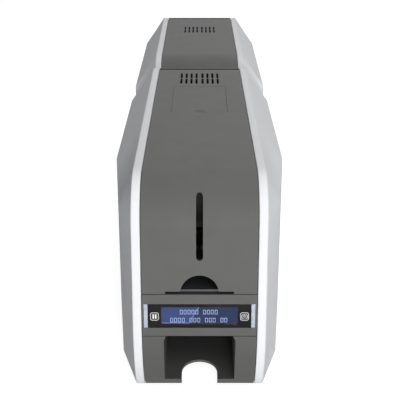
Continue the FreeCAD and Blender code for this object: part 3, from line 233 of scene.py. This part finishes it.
class Shade:
    """A procedural material in the making. Its textures are laid out in the object's own metres."""

    def __init__(self, name, specular=0.5):
        self.material = bpy.data.materials.new(name)
        self.material.use_nodes = True
        self.tree = self.material.node_tree
        self.shader = self.tree.nodes["Principled BSDF"]
        self.shader.inputs["Specular IOR Level"].default_value = specular
        self.place = self.make("ShaderNodeTexCoord")["Object"]
        self.axes = self.make("ShaderNodeSeparateXYZ", {0: self.place})

    def make(self, kind, inputs=None, **settings):
        node = self.tree.nodes.new(kind)
        for key, value in settings.items():
            setattr(node, key, value)
        for key, value in (inputs or {}).items():
            if isinstance(value, bpy.types.NodeSocket):
                self.tree.links.new(value, node.inputs[key])
            else:
                node.inputs[key].default_value = value
        return node.outputs

    def math(self, operation, first, second=0.0):
        return self.make("ShaderNodeMath", {0: first, 1: second}, operation=operation)[0]

    def remap(self, value, start, end, low=0.0, high=1.0):
        inputs = {"Value": value, "From Min": start, "From Max": end, "To Min": low, "To Max": high}
        return self.make("ShaderNodeMapRange", inputs)[0]

    def blend(self, share, first, second):
        inputs = {0: share, 6: (*first, 1.0) if isinstance(first, tuple) else first,
                  7: (*second, 1.0) if isinstance(second, tuple) else second}
        return self.make("ShaderNodeMix", inputs, data_type="RGBA")[2]

    def between(self, share, first, second):
        return self.make("ShaderNodeMix", {0: share, 2: first, 3: second}, data_type="FLOAT")[0]

    def noise(self, size, detail=2.0, stretch=None):
        """Cloudy pattern from 0 to 1 whose blotches are about as large as size, in metres."""
        place = self.place
        if stretch:
            inputs = {0: place, 1: stretch}
            place = self.make("ShaderNodeVectorMath", inputs, operation="MULTIPLY")[0]
        inputs = {"Vector": place, "Scale": 1.0 / size, "Detail": detail}
        return self.remap(self.make("ShaderNodeTexNoise", inputs)[0], *NOISE_SPAN)

    def flakes(self, size):
        """Random tone from 0 to 1 in each small cell."""
        inputs = {"Vector": self.place, "Scale": 1.0 / size}
        cells = self.make("ShaderNodeTexVoronoi", inputs)["Color"]
        return self.make("ShaderNodeSeparateColor", {0: cells})[0]

    def inside(self, axis, low, high):
        """1 between two places along an axis, 0 elsewhere."""
        above = self.math("GREATER_THAN", self.axes[axis], low)
        return self.math("MULTIPLY", above, self.math("LESS_THAN", self.axes[axis], high))

    def outside_width(self, half):
        """1 farther than half from the middle plane, 0 nearer."""
        return self.math("GREATER_THAN", self.math("ABSOLUTE", self.axes[0]), half)

    def edges(self, radius):
        """The softened normal near edges, and 1 on edges and corners."""
        soft = self.make("ShaderNodeBevel", {"Radius": radius}, samples=4)[0]
        flat = self.make("ShaderNodeNewGeometry")["Normal"]
        inputs = {0: soft, 1: flat}
        same = self.make("ShaderNodeVectorMath", inputs, operation="DOT_PRODUCT")["Value"]
        return soft, self.remap(same, *EDGE_SPAN)

    def tone(self, pattern, finish):
        dark = tuple(value * (1 - finish.mottle) for value in finish.color)
        light = tuple(value * (1 + finish.mottle) for value in finish.color)
        return self.blend(pattern, dark, light)

    def feed(self, values):
        """Give the shader's sockets their values, plain ones or another node's output."""
        for name, value in values.items():
            socket = self.shader.inputs[name]
            if isinstance(value, bpy.types.NodeSocket):
                self.tree.links.new(value, socket)
            else:
                socket.default_value = value


# Every surface's broad blotches and smudges, in millimetres, and the grain's share in its tone
BLOTCH = 45
SMUDGE = 18
GRAIN_SHARE = 0.45
# The span of smudges that lets edge wear and painted highlight through, how much at each end,
# and the worn edges' gloss
WEAR_AND_HIGHLIGHT_PATCHES = 0.2, 1.0, 0.35, 1.0
WORN_GLOSS = 0.08


def surface(name, finish, zones=(), specular=0.5, grain=0.5, depth=0.01, brushed=None,
            radius=0.5, edge_wear_and_highlight=0.12, glints=0.0, smear=0.06):
    """A finish with optional zones of other finishes, given as functions that return a mask.

    Grain, its depth and the radius of worn edges are in millimetres. The edge setting is how much
    lighter those edges are, partly wear and partly a painted highlight, glints the share of
    flakes, and smear what smudges do to the roughness.
    """
    shade = Shade(name, specular)
    broad = shade.noise(BLOTCH * MM, 3.0)
    fine = shade.noise(grain * MM, 2.0, brushed)
    smudge = shade.noise(SMUDGE * MM, 4.0)
    pattern = shade.between(GRAIN_SHARE, broad, fine)
    if glints:
        pattern = shade.between(glints, pattern, shade.flakes(grain * MM))
    color = shade.tone(pattern, finish)
    rough = finish.rough
    metal = finish.metal
    for mask_of, other in zones:
        mask = mask_of(shade)
        color = shade.blend(mask, color, shade.tone(pattern, other))
        rough = shade.between(mask, rough, other.rough)
        metal = shade.between(mask, metal, other.metal)
    soft, edge = shade.edges(radius * MM)
    # Edges lighten in patches: partly wear, partly a painted highlight
    worn_and_highlit = shade.math("MULTIPLY", edge, shade.remap(smudge, *WEAR_AND_HIGHLIGHT_PATCHES))
    wear_and_highlight_tone = shade.make("ShaderNodeBrightContrast", {"Color": color, "Bright": edge_wear_and_highlight})[0]
    color = shade.blend(worn_and_highlit, color, wear_and_highlight_tone)
    rough = shade.math("ADD", rough, shade.remap(smudge, 0.0, 1.0, -smear, smear))
    rough = shade.math("ADD", rough, shade.remap(worn_and_highlit, 0.0, 1.0, 0.0, -WORN_GLOSS))
    relief = {"Height": fine, "Strength": 1.0, "Distance": depth * MM, "Normal": soft}
    bump = shade.make("ShaderNodeBump", relief)
    shade.feed({"Base Color": color, "Roughness": rough, "Metallic": metal, "Normal": bump[0]})
    return shade.material


STEEL = Finish(linear(178, 180, 184), 0.05, 0.28, 1.0)
ZINC = Finish(linear(170, 173, 176), 0.12, 0.42, 1.0)
BLACK = Finish(linear(38, 38, 39), 0.10, 0.5)
CREAM = Finish(linear(214, 213, 206), 0.03, 0.45)
GREY_MOULDED = Finish(linear(34, 35, 37), 0.05, 0.5)
DARK_GREY = Finish(linear(57, 57, 56), 0.02, 0.7)
# Black painted as shade into the dark cover's gaps, slots and front seams
PAINTED_SHADE_BLACK = Finish(linear(16, 16, 16), 0.05, 0.9)


# Flat stretches of the two top covers along the depth, in metres, and in millimetres the depth
# below their top where the shade painted into their gaps starts and ends
COVER_RUNS = ((-0.25, 0.04), (0.114, 0.36))
SKIN_DEPTH = 0.4
GAP_DEPTH = 3 * COVER_WALL
# Heights of the front's two seams and half width of the painted shade along them, in
# millimetres, and the front's end, in metres
SEAM_HEIGHTS = (62.65, 101.95)
SEAM_SHADE = 0.42
FRONT_END = -0.29


def painted_gap_shade(shade):
    """1 where shade is painted: inside the gaps and slots of the top covers and along the front's
    two seams.
    """
    below = shade.math("LESS_THAN", shade.axes[2], level(BODY_HEIGHT - SKIN_DEPTH))
    above = shade.math("GREATER_THAN", shade.axes[2], level(BODY_HEIGHT - GAP_DEPTH))
    deep = shade.math("MULTIPLY", below, above)
    on_top = shade.math("MAXIMUM", *[shade.inside(1, *run) for run in COVER_RUNS])
    painted_shade = shade.math("MULTIPLY", deep, on_top)
    front = shade.math("LESS_THAN", shade.axes[1], FRONT_END)
    for height in SEAM_HEIGHTS:
        low, high = [level(height + side * SEAM_SHADE) for side in (-1, 1)]
        line = shade.math("MULTIPLY", front, shade.inside(2, low, high))
        painted_shade = shade.math("MAXIMUM", painted_shade, line)
    return painted_shade


def on_shaft(shade):
    return shade.outside_width(RUBBER_HALF * MM)


def on_wheel(shade):
    return shade.inside(0, -ROLLER_REACH * MM, -SHEET_HALF * MM)


def on_flange(shade):
    return shade.outside_width((SPOOL_HALF - SPOOL_FLANGE) * MM)


# The display's own tone, the tone of the painted reflection left of its glare line and the
# pale streak painted along that line, its glow and that of the light bars
SCREEN_DARK = Finish(linear(16, 30, 60), 0.10)
SCREEN_PAINTED_REFLECTION = Finish(linear(34, 50, 88), 0.08)
SCREEN_REFLECTION_STREAK = linear(88, 104, 150)
SCREEN_GLOW = 0.1
BAR_GLOW = 0.05
# The slope of the painted glare line across the display, its height above the floor and its side
# there, its blur and its streak's outer and inner half widths, in millimetres
GLARE_LEAN = 0.6
GLARE_HEIGHT = 92.6
GLARE_SIDE = 0.9
GLARE_BLUR = 0.3
GLARE_STREAK = 0.55, 0.2


def screen_material():
    """Blue display behind a clear window, with a painted reflection left of a slanting line."""
    shade = Shade("display_blue", 0.25)
    slant = shade.math("MULTIPLY_ADD", shade.axes[2], -GLARE_LEAN)
    slant.node.inputs[2].default_value = GLARE_LEAN * GLARE_HEIGHT * MM + GLARE_SIDE * MM
    across = shade.math("ADD", shade.axes[0], slant)
    left = shade.remap(across, GLARE_BLUR * MM, -GLARE_BLUR * MM)
    outer, inner = GLARE_STREAK
    painted_streak = shade.remap(shade.math("ABSOLUTE", across), outer * MM, inner * MM)
    cloud = shade.noise(20 * MM, 2.0)
    # Painted reflection: a lighter tone left of the glare line and a pale streak along it
    color = shade.blend(left, shade.tone(cloud, SCREEN_DARK), shade.tone(cloud, SCREEN_PAINTED_REFLECTION))
    color = shade.blend(painted_streak, color, SCREEN_REFLECTION_STREAK)
    rows = shade.noise(0.25 * MM, 1.0, (1.0, 0.1, 1.0))
    relief = {"Height": rows, "Strength": 1.0, "Distance": 0.001 * MM}
    bump = shade.make("ShaderNodeBump", relief)
    rough = shade.remap(shade.noise(9 * MM), 0.0, 1.0, 0.10, 0.18)
    shade.feed({"Base Color": color, "Roughness": rough, "Normal": bump[0]})
    # The glow takes this colour, painted reflection and streak included
    shade.feed({"Emission Color": color, "Emission Strength": SCREEN_GLOW})
    return shade.material


def light_bar_material():
    """Frosted clear plastic in front of a faint lamp."""
    shade = Shade("light_bar", 0.5)
    cloud = shade.noise(3 * MM, 2.0)
    color = shade.tone(cloud, Finish(linear(132, 138, 148), 0.04))
    rough = shade.remap(cloud, 0.0, 1.0, 0.22, 0.32)
    shade.feed({"Base Color": color, "Roughness": rough})
    shade.feed({"Emission Color": color, "Emission Strength": BAR_GLOW})
    return shade.material


# The tray's floor, the posts and the board, the heights above the board where chips and plugs
# take their own tone, and the size of the cells of its tracks, in millimetres
BOARD_LAYERS = 2.5, 13.5, 1.6
CHIP_FOOT = 0.2
CHIP_TOP = 2.3
TRACK_CELL = 2.4
# Cells with a random tone above this become tracks, mixed in by this share
TRACK_TONE = 0.72
TRACK_SHARE = 0.5


def circuit_material():
    """Green board with tracks, black chips and pale plug headers."""
    board_top = level(sum(BOARD_LAYERS))

    def on_parts(shade):
        return shade.math("GREATER_THAN", shade.axes[2], board_top + CHIP_FOOT * MM)

    def on_plugs(shade):
        return shade.math("GREATER_THAN", shade.axes[2], board_top + CHIP_TOP * MM)

    def on_tracks(shade):
        lines = shade.flakes(TRACK_CELL * MM)
        return shade.math("MULTIPLY", shade.math("GREATER_THAN", lines, TRACK_TONE), TRACK_SHARE)

    zones = [
        (on_tracks, Finish(linear(60, 132, 84), 0.05, 0.35)),
        (on_parts, Finish(linear(34, 34, 36), 0.05, 0.4)),
        (on_plugs, CREAM),
    ]
    return surface("board_green", Finish(linear(24, 92, 54), 0.08, 0.3), zones, radius=0.3)


# The two end caps of the motors, in millimetres along the width
MOTOR_CAPS = (-50, -35), (-17, 0)


def on_motor_cap(shade):
    near, far = [shade.inside(0, low * MM, high * MM) for low, high in MOTOR_CAPS]
    return shade.math("MAXIMUM", near, far)


# Each slot's finish and what else its surface has
ROLLER_ZONES = [(on_shaft, STEEL), (on_wheel, CREAM)]
WOUND = (3.0, 0.2, 0.2)
FINISHES = {
    # The dark cover's gaps, slots and front seams are painted black as painted shade
    "dark_cover": (DARK_GREY, dict(
        zones=[(painted_gap_shade, PAINTED_SHADE_BLACK)], depth=0.010, edge_wear_and_highlight=0.08, smear=0.02)),
    "silver_cover": (Finish(linear(188, 189, 191), 0.02, 0.6), dict(
        specular=0.0, grain=0.35, depth=0.004, radius=2.5, edge_wear_and_highlight=0.0, glints=0.4)),
    "black_plastic": (BLACK, dict(specular=0.35, grain=0.6, depth=0.015)),
    "gloss_black": (Finish(linear(20, 18, 19), 0.05, 0.16), dict(
        specular=0.1, depth=0.0008, radius=0.4, edge_wear_and_highlight=0.03)),
    "button_black": (Finish(linear(26, 25, 26), 0.06, 0.35), dict(
        specular=0.25, depth=0.004, edge_wear_and_highlight=0.03)),
    "steel_sheet": (ZINC, dict(grain=3.0, depth=0.006, glints=0.5, radius=0.3)),
    "steel_shaft": (STEEL, dict(
        grain=0.4, depth=0.003, brushed=(0.05, 1.0, 1.0), radius=0.3)),
    "aluminium": (Finish(linear(196, 198, 200), 0.05, 0.35, 1.0), dict(
        depth=0.006, brushed=(0.1, 1.0, 1.0), radius=0.3)),
    "roller_rubber": (Finish(linear(44, 44, 46), 0.08, 0.7), dict(
        zones=ROLLER_ZONES, specular=0.3, depth=0.02)),
    "sticky_rubber": (Finish(linear(70, 104, 168), 0.04, 0.25), dict(
        zones=ROLLER_ZONES, depth=0.004)),
    "heat_rubber": (Finish(linear(150, 70, 52), 0.06, 0.45), dict(
        zones=ROLLER_ZONES, depth=0.01)),
    "belt_rubber": (Finish(linear(32, 32, 33), 0.08, 0.75), dict(specular=0.25, depth=0.03)),
    "motor_black": (Finish(linear(40, 40, 42), 0.06, 0.45), dict(
        zones=[(on_motor_cap, ZINC)], brushed=(4.0, 0.3, 0.3))),
    "cassette_grey": (GREY_MOULDED, dict(specular=0.4, depth=0.012, edge_wear_and_highlight=0.01)),
    "ribbon_film": (Finish(linear(48, 30, 52), 0.10, 0.22), dict(
        zones=[(on_flange, CREAM)], grain=0.4, brushed=WOUND, depth=0.006)),
    "laminate_film": (Finish(linear(206, 208, 214), 0.03, 0.12), dict(
        zones=[(on_flange, GREY_MOULDED)], grain=0.4, brushed=WOUND, depth=0.004)),
    "white_plastic": (CREAM, dict(specular=0.4, depth=0.008)),
    "foot_rubber": (Finish(linear(36, 36, 36), 0.08, 0.8), dict(specular=0.2, depth=0.04)),
}


def build_materials():
    made = {name: surface(name, finish, **more) for name, (finish, more) in FINISHES.items()}
    made["display_blue"] = screen_material()
    made["light_bar"] = light_bar_material()
    made["board_green"] = circuit_material()
    return made


def dress_nodes(materials):
    """Each node gets its slot's material, but the card weight, seen in the slit, is black as
    painted shade.
    """
    for subpart in record["subparts"]:
        mesh = nodes[subpart["node"]].data
        mesh.materials.clear()
        mesh.materials.append(materials[subpart["material_slot"]])
    # The white card weight is given black plastic as painted shade inside the slit
    nodes["card_weight"].data.materials[0] = materials["black_plastic"]


# Printed pieces on the leaning front


class Sheet:
    """Flat drawing surface in millimetres: x to the viewer's right, h up, lift to the viewer."""

    def __init__(self, start, up, out):
        self.start = start
        self.up = Vector(up)
        self.out = Vector(out)
        self.right = self.up.cross(self.out)

    def at(self, x, h, lift):
        return self.start + (self.right * x + self.up * h + self.out * lift) * MM


def front_sheet(x, height, proud):
    """Sheet on the printer's leaning front, standing proud of it."""
    waist_top = NOSE_HEIGHT + WAIST_RADIUS * math.sin(LEAN)
    back = WAIST_RADIUS * (1 - math.cos(LEAN)) + (height - waist_top) * math.tan(LEAN)
    out = Vector((0.0, -math.cos(LEAN), math.sin(LEAN)))
    up = (0.0, math.sin(LEAN), math.cos(LEAN))
    return Sheet(place_of(x, back, height) + out * proud * MM, up, out)


def rectangle(x0, x1, h0, h1):
    return [(x0, h0), (x1, h0), (x1, h1), (x0, h1)]


def rounded_square(half_x, half_h, radius, steps=4, centre=(0.0, 0.0)):
    points = []
    for corner, (sx, sh) in enumerate(((1, 1), (-1, 1), (-1, -1), (1, -1))):
        for step in range(steps + 1):
            angle = math.pi / 2 * (corner + step / steps)
            x = centre[0] + sx * (half_x - radius) + radius * math.cos(angle)
            h = centre[1] + sh * (half_h - radius) + radius * math.sin(angle)
            points.append((x, h))
    return points


def arc_points(centre, radius, first, last, steps=8):
    points = []
    for step in range(steps + 1):
        angle = math.radians(first + (last - first) * step / steps)
        x = centre[0] + radius * math.cos(angle)
        points.append((x, centre[1] + radius * math.sin(angle)))
    return points


def stroke(points, width, closed=False):
    """Quads that follow a line of points with the given width."""
    count = len(points)
    left = []
    right = []
    for index, (x, h) in enumerate(points):
        first = points[index - 1] if closed or index else points[index]
        last = points[(index + 1) % count] if closed or index < count - 1 else points[index]
        way = Vector((last[0] - first[0], last[1] - first[1])).normalized()
        side = Vector((-way.y, way.x)) * width / 2
        left.append((x + side.x, h + side.y))
        right.append((x - side.x, h - side.y))
    spans = count if closed else count - 1
    quads = []
    for index in range(spans):
        after = (index + 1) % count
        quads.append([left[index], right[index], right[after], left[after]])
    return quads


# Corners closer than this many millimetres are joined
WELD = 0.001


def finished_piece(shape, name, body, material):
    """An object made of a finished bmesh, riding on its body."""
    bmesh.ops.recalc_face_normals(shape, faces=shape.faces)
    mesh = bpy.data.meshes.new(name)
    shape.to_mesh(mesh)
    shape.free()
    mesh.materials.append(material)
    piece = bpy.data.objects.new(name, mesh)
    bpy.context.scene.collection.objects.link(piece)
    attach(piece, body)
    return piece


def printed_piece(name, body, material, sheet, faces, thick):
    """A thin raised print made of flat faces that share the sheet."""
    shape = bmesh.new()
    for outline in faces:
        low = [shape.verts.new(sheet.at(x, h, 0.0)) for x, h in outline]
        high = [shape.verts.new(sheet.at(x, h, thick)) for x, h in outline]
        shape.faces.new(high)
        shape.faces.new(list(reversed(low)))
        for index in range(len(outline)):
            after = (index + 1) % len(outline)
            shape.faces.new([low[index], low[after], high[after], high[index]])
    bmesh.ops.remove_doubles(shape, verts=shape.verts, dist=WELD * MM)
    return finished_piece(shape, name, body, material)


# In millimetres: the icons' lift, thickness and line, the ring's half size and corner, and the
# marks inside it, with bars and dot as half width, half height and corner
ICON_LIFT = 0.02
ICON_THICK = 0.05
ICON_LINE = 0.42
ICON_HALF = 3.5
ICON_CORNER = 1.5
BAR_HALF = 0.6, 2.0, 0.25
BAR_SIDE = 1.05
TICK = (-1.2, 0.7), (0.0, -1.0), (1.2, 0.7)
TICK_DOT = 0.5, 0.5, 0.45
TICK_DOT_PLACE = 0.0, 1.5
LOOP_PLACE = 0.6, -0.2
LOOP_RADIUS = 2.0
LOOP_SPREAD = 75


def add_button_icons():
    """White outlines on the buttons: two bars on the left, a tick between loops on the right."""
    ink = surface("icon_ink", Finish(linear(196, 195, 191), 0.02, 0.5), specular=0.3,
                  depth=0.004, edge_wear_and_highlight=0.0)
    ring = stroke(rounded_square(ICON_HALF, ICON_HALF, ICON_CORNER), ICON_LINE, True)
    bars = [rounded_square(*BAR_HALF, 2, (x, 0.0)) for x in (-BAR_SIDE, BAR_SIDE)]
    marks = stroke(TICK, ICON_LINE)
    marks.append(rounded_square(*TICK_DOT, 3, TICK_DOT_PLACE))
    for middle in (0, 180):
        centre = (math.cos(math.radians(middle)) * LOOP_PLACE[0], LOOP_PLACE[1])
        loop = arc_points(centre, LOOP_RADIUS, middle - LOOP_SPREAD, middle + LOOP_SPREAD)
        marks += stroke(loop, ICON_LINE)
    buttons = ("left_button", -BUTTON_CENTRE, bars), ("right_button", BUTTON_CENTRE, marks)
    for name, x, drawing in buttons:
        sheet = front_sheet(x, BUTTON_HEIGHT, BUTTON_PROUD + ICON_LIFT)
        printed_piece(name + "_icon", name + "_body", ink, sheet, ring + drawing,
                      ICON_THICK)


# The display's character cells in millimetres: counts of dots, their pitch and half size, the
# cells' pitch and middle, each row's height with its cells, then the rule below the rows
CELL_DOTS = 5, 7
DOT_PITCH = 0.5, 0.6
DOT_HALF = 0.22, 0.26
DOT_LIFT = 0.02
DOT_THICK = 0.03
CELL_PITCH = 3.4
DISPLAY_MIDDLE = -0.7
DISPLAY_ROWS = (
    (85.2, (-4.5, -3.5, -2.5, -1.5, -0.5, 1.5, 2.5, 3.5, 4.5)),
    (77.8, (-7.0, -6.0, -5.0, -4.0, -2.0, -1.0, 0.0, 2.0, 3.0, 4.0, 6.0, 7.0)),
)
RULE_ENDS = -32.6, -10.4
RULE_HALF = 0.12
RULE_CORNER = 0.1
RULE_HEIGHT = 75.2


def cell_dots(cell):
    """The dots of one hollow cell, as outlines on the display's sheet."""
    columns, rows = CELL_DOTS
    dx, dh = DOT_HALF
    dots = []
    for column in range(columns):
        for row in range(rows):
            if 0 < column < columns - 1 and 0 < row < rows - 1:
                continue
            x = cell * CELL_PITCH + (column - (columns - 1) / 2) * DOT_PITCH[0]
            h = (row - (rows - 1) / 2) * DOT_PITCH[1]
            dots.append(rectangle(x - dx, x + dx, h - dh, h + dh))
    return dots


def add_display_cells():
    """Rows of plain hollow blocks in dots, where the display has characters, and a thin rule."""
    glow = surface("display_dots", Finish(linear(140, 155, 200), 0.04, 0.4), specular=0.3,
                   depth=0.001, edge_wear_and_highlight=0.0)
    lift = DOT_LIFT - SCREEN_INSET
    for number, (height, cells) in enumerate(DISPLAY_ROWS):
        dots = [dot for cell in cells for dot in cell_dots(cell)]
        sheet = front_sheet(DISPLAY_MIDDLE, height, lift)
        printed_piece("display_row_%d" % (number + 1), "chassis", glow, sheet, dots,
                      DOT_THICK)
    first, last = RULE_ENDS
    middle = (first + last) / 2
    rule = rounded_square((last - first) / 2, RULE_HALF, RULE_CORNER, 2, (middle, 0.0))
    sheet = front_sheet(0.0, RULE_HEIGHT, lift)
    printed_piece("display_rule", "chassis", glow, sheet, [rule], DOT_THICK)


# Inner and rear pieces, in the source's millimetres
REAR_FACE = 713.0
SCREW_HALF = 65.5
SCREW_HEIGHTS = (21.0, 142.8)
CROSS_ARM = 1.7
CROSS_HALF = 0.4
SCOOP_RADIUS = 6.4
SCOOP_DEPTH = 1.0
SCOOP_RIM = 0.25
SCOOP_GAP = 0.08
SCOOP_RINGS = 5
SCOOP_STEPS = 12
BOARD_PLACES = (234.1, 372.0), (575.0, 690.1)


def add_screw_crosses():
    """Flat dark crosses on the heads of the rear screws, painted shade of their cross recesses."""
    shadow = surface("recess_shadow", Finish(linear(40, 40, 42), 0.08, 0.5, 0.6), specular=0.3,
                     depth=0.004)
    faces = []
    middle = sum(SCREW_HEIGHTS) / 2
    for x in (-SCREW_HALF, SCREW_HALF):
        for height in SCREW_HEIGHTS:
            h = height - middle
            faces.append(rectangle(x - CROSS_ARM, x + CROSS_ARM, h - CROSS_HALF, h + CROSS_HALF))
            for side in (-1, 1):
                low, high = sorted((h + side * CROSS_HALF, h + side * CROSS_ARM))
                faces.append(rectangle(x - CROSS_HALF, x + CROSS_HALF, low, high))
    start = place_of(0.0, REAR_FACE + ICON_LIFT, middle)
    sheet = Sheet(start, (0.0, 0.0, 1.0), (0.0, 1.0, 0.0))
    printed_piece("screw_crosses", "chassis", shadow, sheet, faces, ICON_THICK)


def add_scoop_half(name, body, side, floor, material):
    """Half of the dished finger scoop at the hatch's front edge, over the floor of its cut."""
    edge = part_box("top_hatch")[0][1] / MM + HALF_LENGTH
    shape = bmesh.new()
    rows = []
    for ring in range(SCOOP_RINGS + 1):
        share = ring / SCOOP_RINGS
        height = BODY_HEIGHT - SCOOP_RIM - (SCOOP_DEPTH - SCOOP_RIM) * (1 - share ** 2)
        row = []
        for step in range(SCOOP_STEPS + 1):
            angle = math.pi * step / SCOOP_STEPS
            x = SCOOP_RADIUS * share * math.cos(angle)
            y = edge + side * (SCOOP_GAP + (SCOOP_RADIUS - SCOOP_GAP) * share * math.sin(angle))
            row.append(shape.verts.new(place_of(x, y, height)))
        rows.append(row)
    for inner, outer in zip(rows, rows[1:]):
        for step in range(SCOOP_STEPS):
            shape.faces.new([inner[step], inner[step + 1], outer[step + 1], outer[step]])
    rim = rows[-1]
    straight = [row[0] for row in reversed(rows)] + [row[-1] for row in rows[1:]]
    floor_rim = [shape.verts.new((vert.co.x, vert.co.y, floor)) for vert in rim]
    for step in range(SCOOP_STEPS):
        shape.faces.new([rim[step], rim[step + 1], floor_rim[step + 1], floor_rim[step]])
    shape.faces.new(floor_rim)
    shape.faces.new(straight + [floor_rim[-1], floor_rim[0]])
    bmesh.ops.remove_doubles(shape, verts=shape.verts, dist=WELD * MM)
    return finished_piece(shape, name, body, material)


def add_finger_scoop():
    """The dished floor of the cut at the hatch's front edge, half on hatch, half on cover."""
    material = surface("scoop_grey", DARK_GREY, depth=0.010, edge_wear_and_highlight=0.08, smear=0.02)
    hatch_floor = level(BODY_HEIGHT - COVER_WALL)
    cover_floor = level(BODY_HEIGHT - COVER_WALL / 2)
    add_scoop_half("hatch_scoop", "top_hatch_body", 1, hatch_floor, material)
    add_scoop_half("cover_scoop", "printer_cover", -1, cover_floor, material)


def add_laminator_board(material):
    """Control board on the laminator's four posts, like the printer's but shorter."""
    (first, last), (start, end) = BOARD_PLACES
    mesh = nodes["printer_main_board"].data.copy()
    scale = (end - start) / (last - first)
    for vertex in mesh.vertices:
        along = (vertex.co.y / MM + HALF_LENGTH - first) * scale + start
        vertex.co.y = (along - HALF_LENGTH) * MM
    mesh.materials.clear()
    mesh.materials.append(material)
    piece = bpy.data.objects.new("laminator_board", mesh)
    bpy.context.scene.collection.objects.link(piece)
    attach(piece, "chassis")


# The ribbon's half width and thickness, its rolls' radii, and its bends round the print head as
# places behind the head's middle and above the head's line, in millimetres
FILM_HALF = 30.5
FILM_THICK = 0.2
ROLL_RADII = {"ribbon_supply_spool": 15.0, "ribbon_takeup_spool": 9.0}
HEAD_LINE = 106.6
HEAD_BENDS = (8.0, 0.5), (2.0, 0.0), (-2.0, 0.0), (-8.0, 0.5)


def tangent_point(centre, radius, target, side):
    """Where a straight film from the target touches a roll, on the roll's upper or lower side."""
    dy, dz = target[0] - centre[0], target[1] - centre[1]
    reach = math.hypot(dy, dz)
    angle = math.atan2(dz, dy) + side * math.acos(radius / reach)
    return centre[0] + radius * math.cos(angle), centre[1] + radius * math.sin(angle)


def add_ribbon(material):
    """Colour ribbon drawn from the supply roll, under the print head, up to the take-up roll."""
    rolls = []
    for name, radius in ROLL_RADII.items():
        low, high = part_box(name)
        middle = [(low[axis] + high[axis]) / 2 / MM for axis in (1, 2)]
        rolls.append((middle, radius + FILM_THICK / 2))
    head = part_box("print_head")
    head_middle = (head[0][1] + head[1][1]) / 2 / MM
    line = HEAD_LINE + FOOT_HEIGHT
    bends = [(head_middle + back, line + lift) for back, lift in HEAD_BENDS]
    start = tangent_point(*rolls[0], bends[0], -1)
    end = tangent_point(*rolls[1], bends[-1], 1)
    route = [start] + bends + [end]
    shape = bmesh.new()
    rows = []
    for index, (y, z) in enumerate(route):
        first = route[max(index - 1, 0)]
        last = route[min(index + 1, len(route) - 1)]
        way = Vector((last[0] - first[0], last[1] - first[1])).normalized() * FILM_THICK / 2
        corners = [(-FILM_HALF, y - way.y, z + way.x), (FILM_HALF, y - way.y, z + way.x),
                   (FILM_HALF, y + way.y, z - way.x), (-FILM_HALF, y + way.y, z - way.x)]
        rows.append([shape.verts.new(Vector(corner) * MM) for corner in corners])
    for first, second in zip(rows, rows[1:]):
        for index in range(4):
            after = (index + 1) % 4
            shape.faces.new([first[index], first[after], second[after], second[index]])
    shape.faces.new(rows[0])
    shape.faces.new(list(reversed(rows[-1])))
    finished_piece(shape, "ribbon_web", "chassis", material)


add_camera()
add_lamps()
add_world()
add_floor()
materials = build_materials()
dress_nodes(materials)
add_button_icons()
add_display_cells()
add_screw_crosses()
add_finger_scoop()
add_laminator_board(materials["board_green"])
add_ribbon(materials["ribbon_film"])
bpy.context.scene.view_settings.view_transform = "Standard"
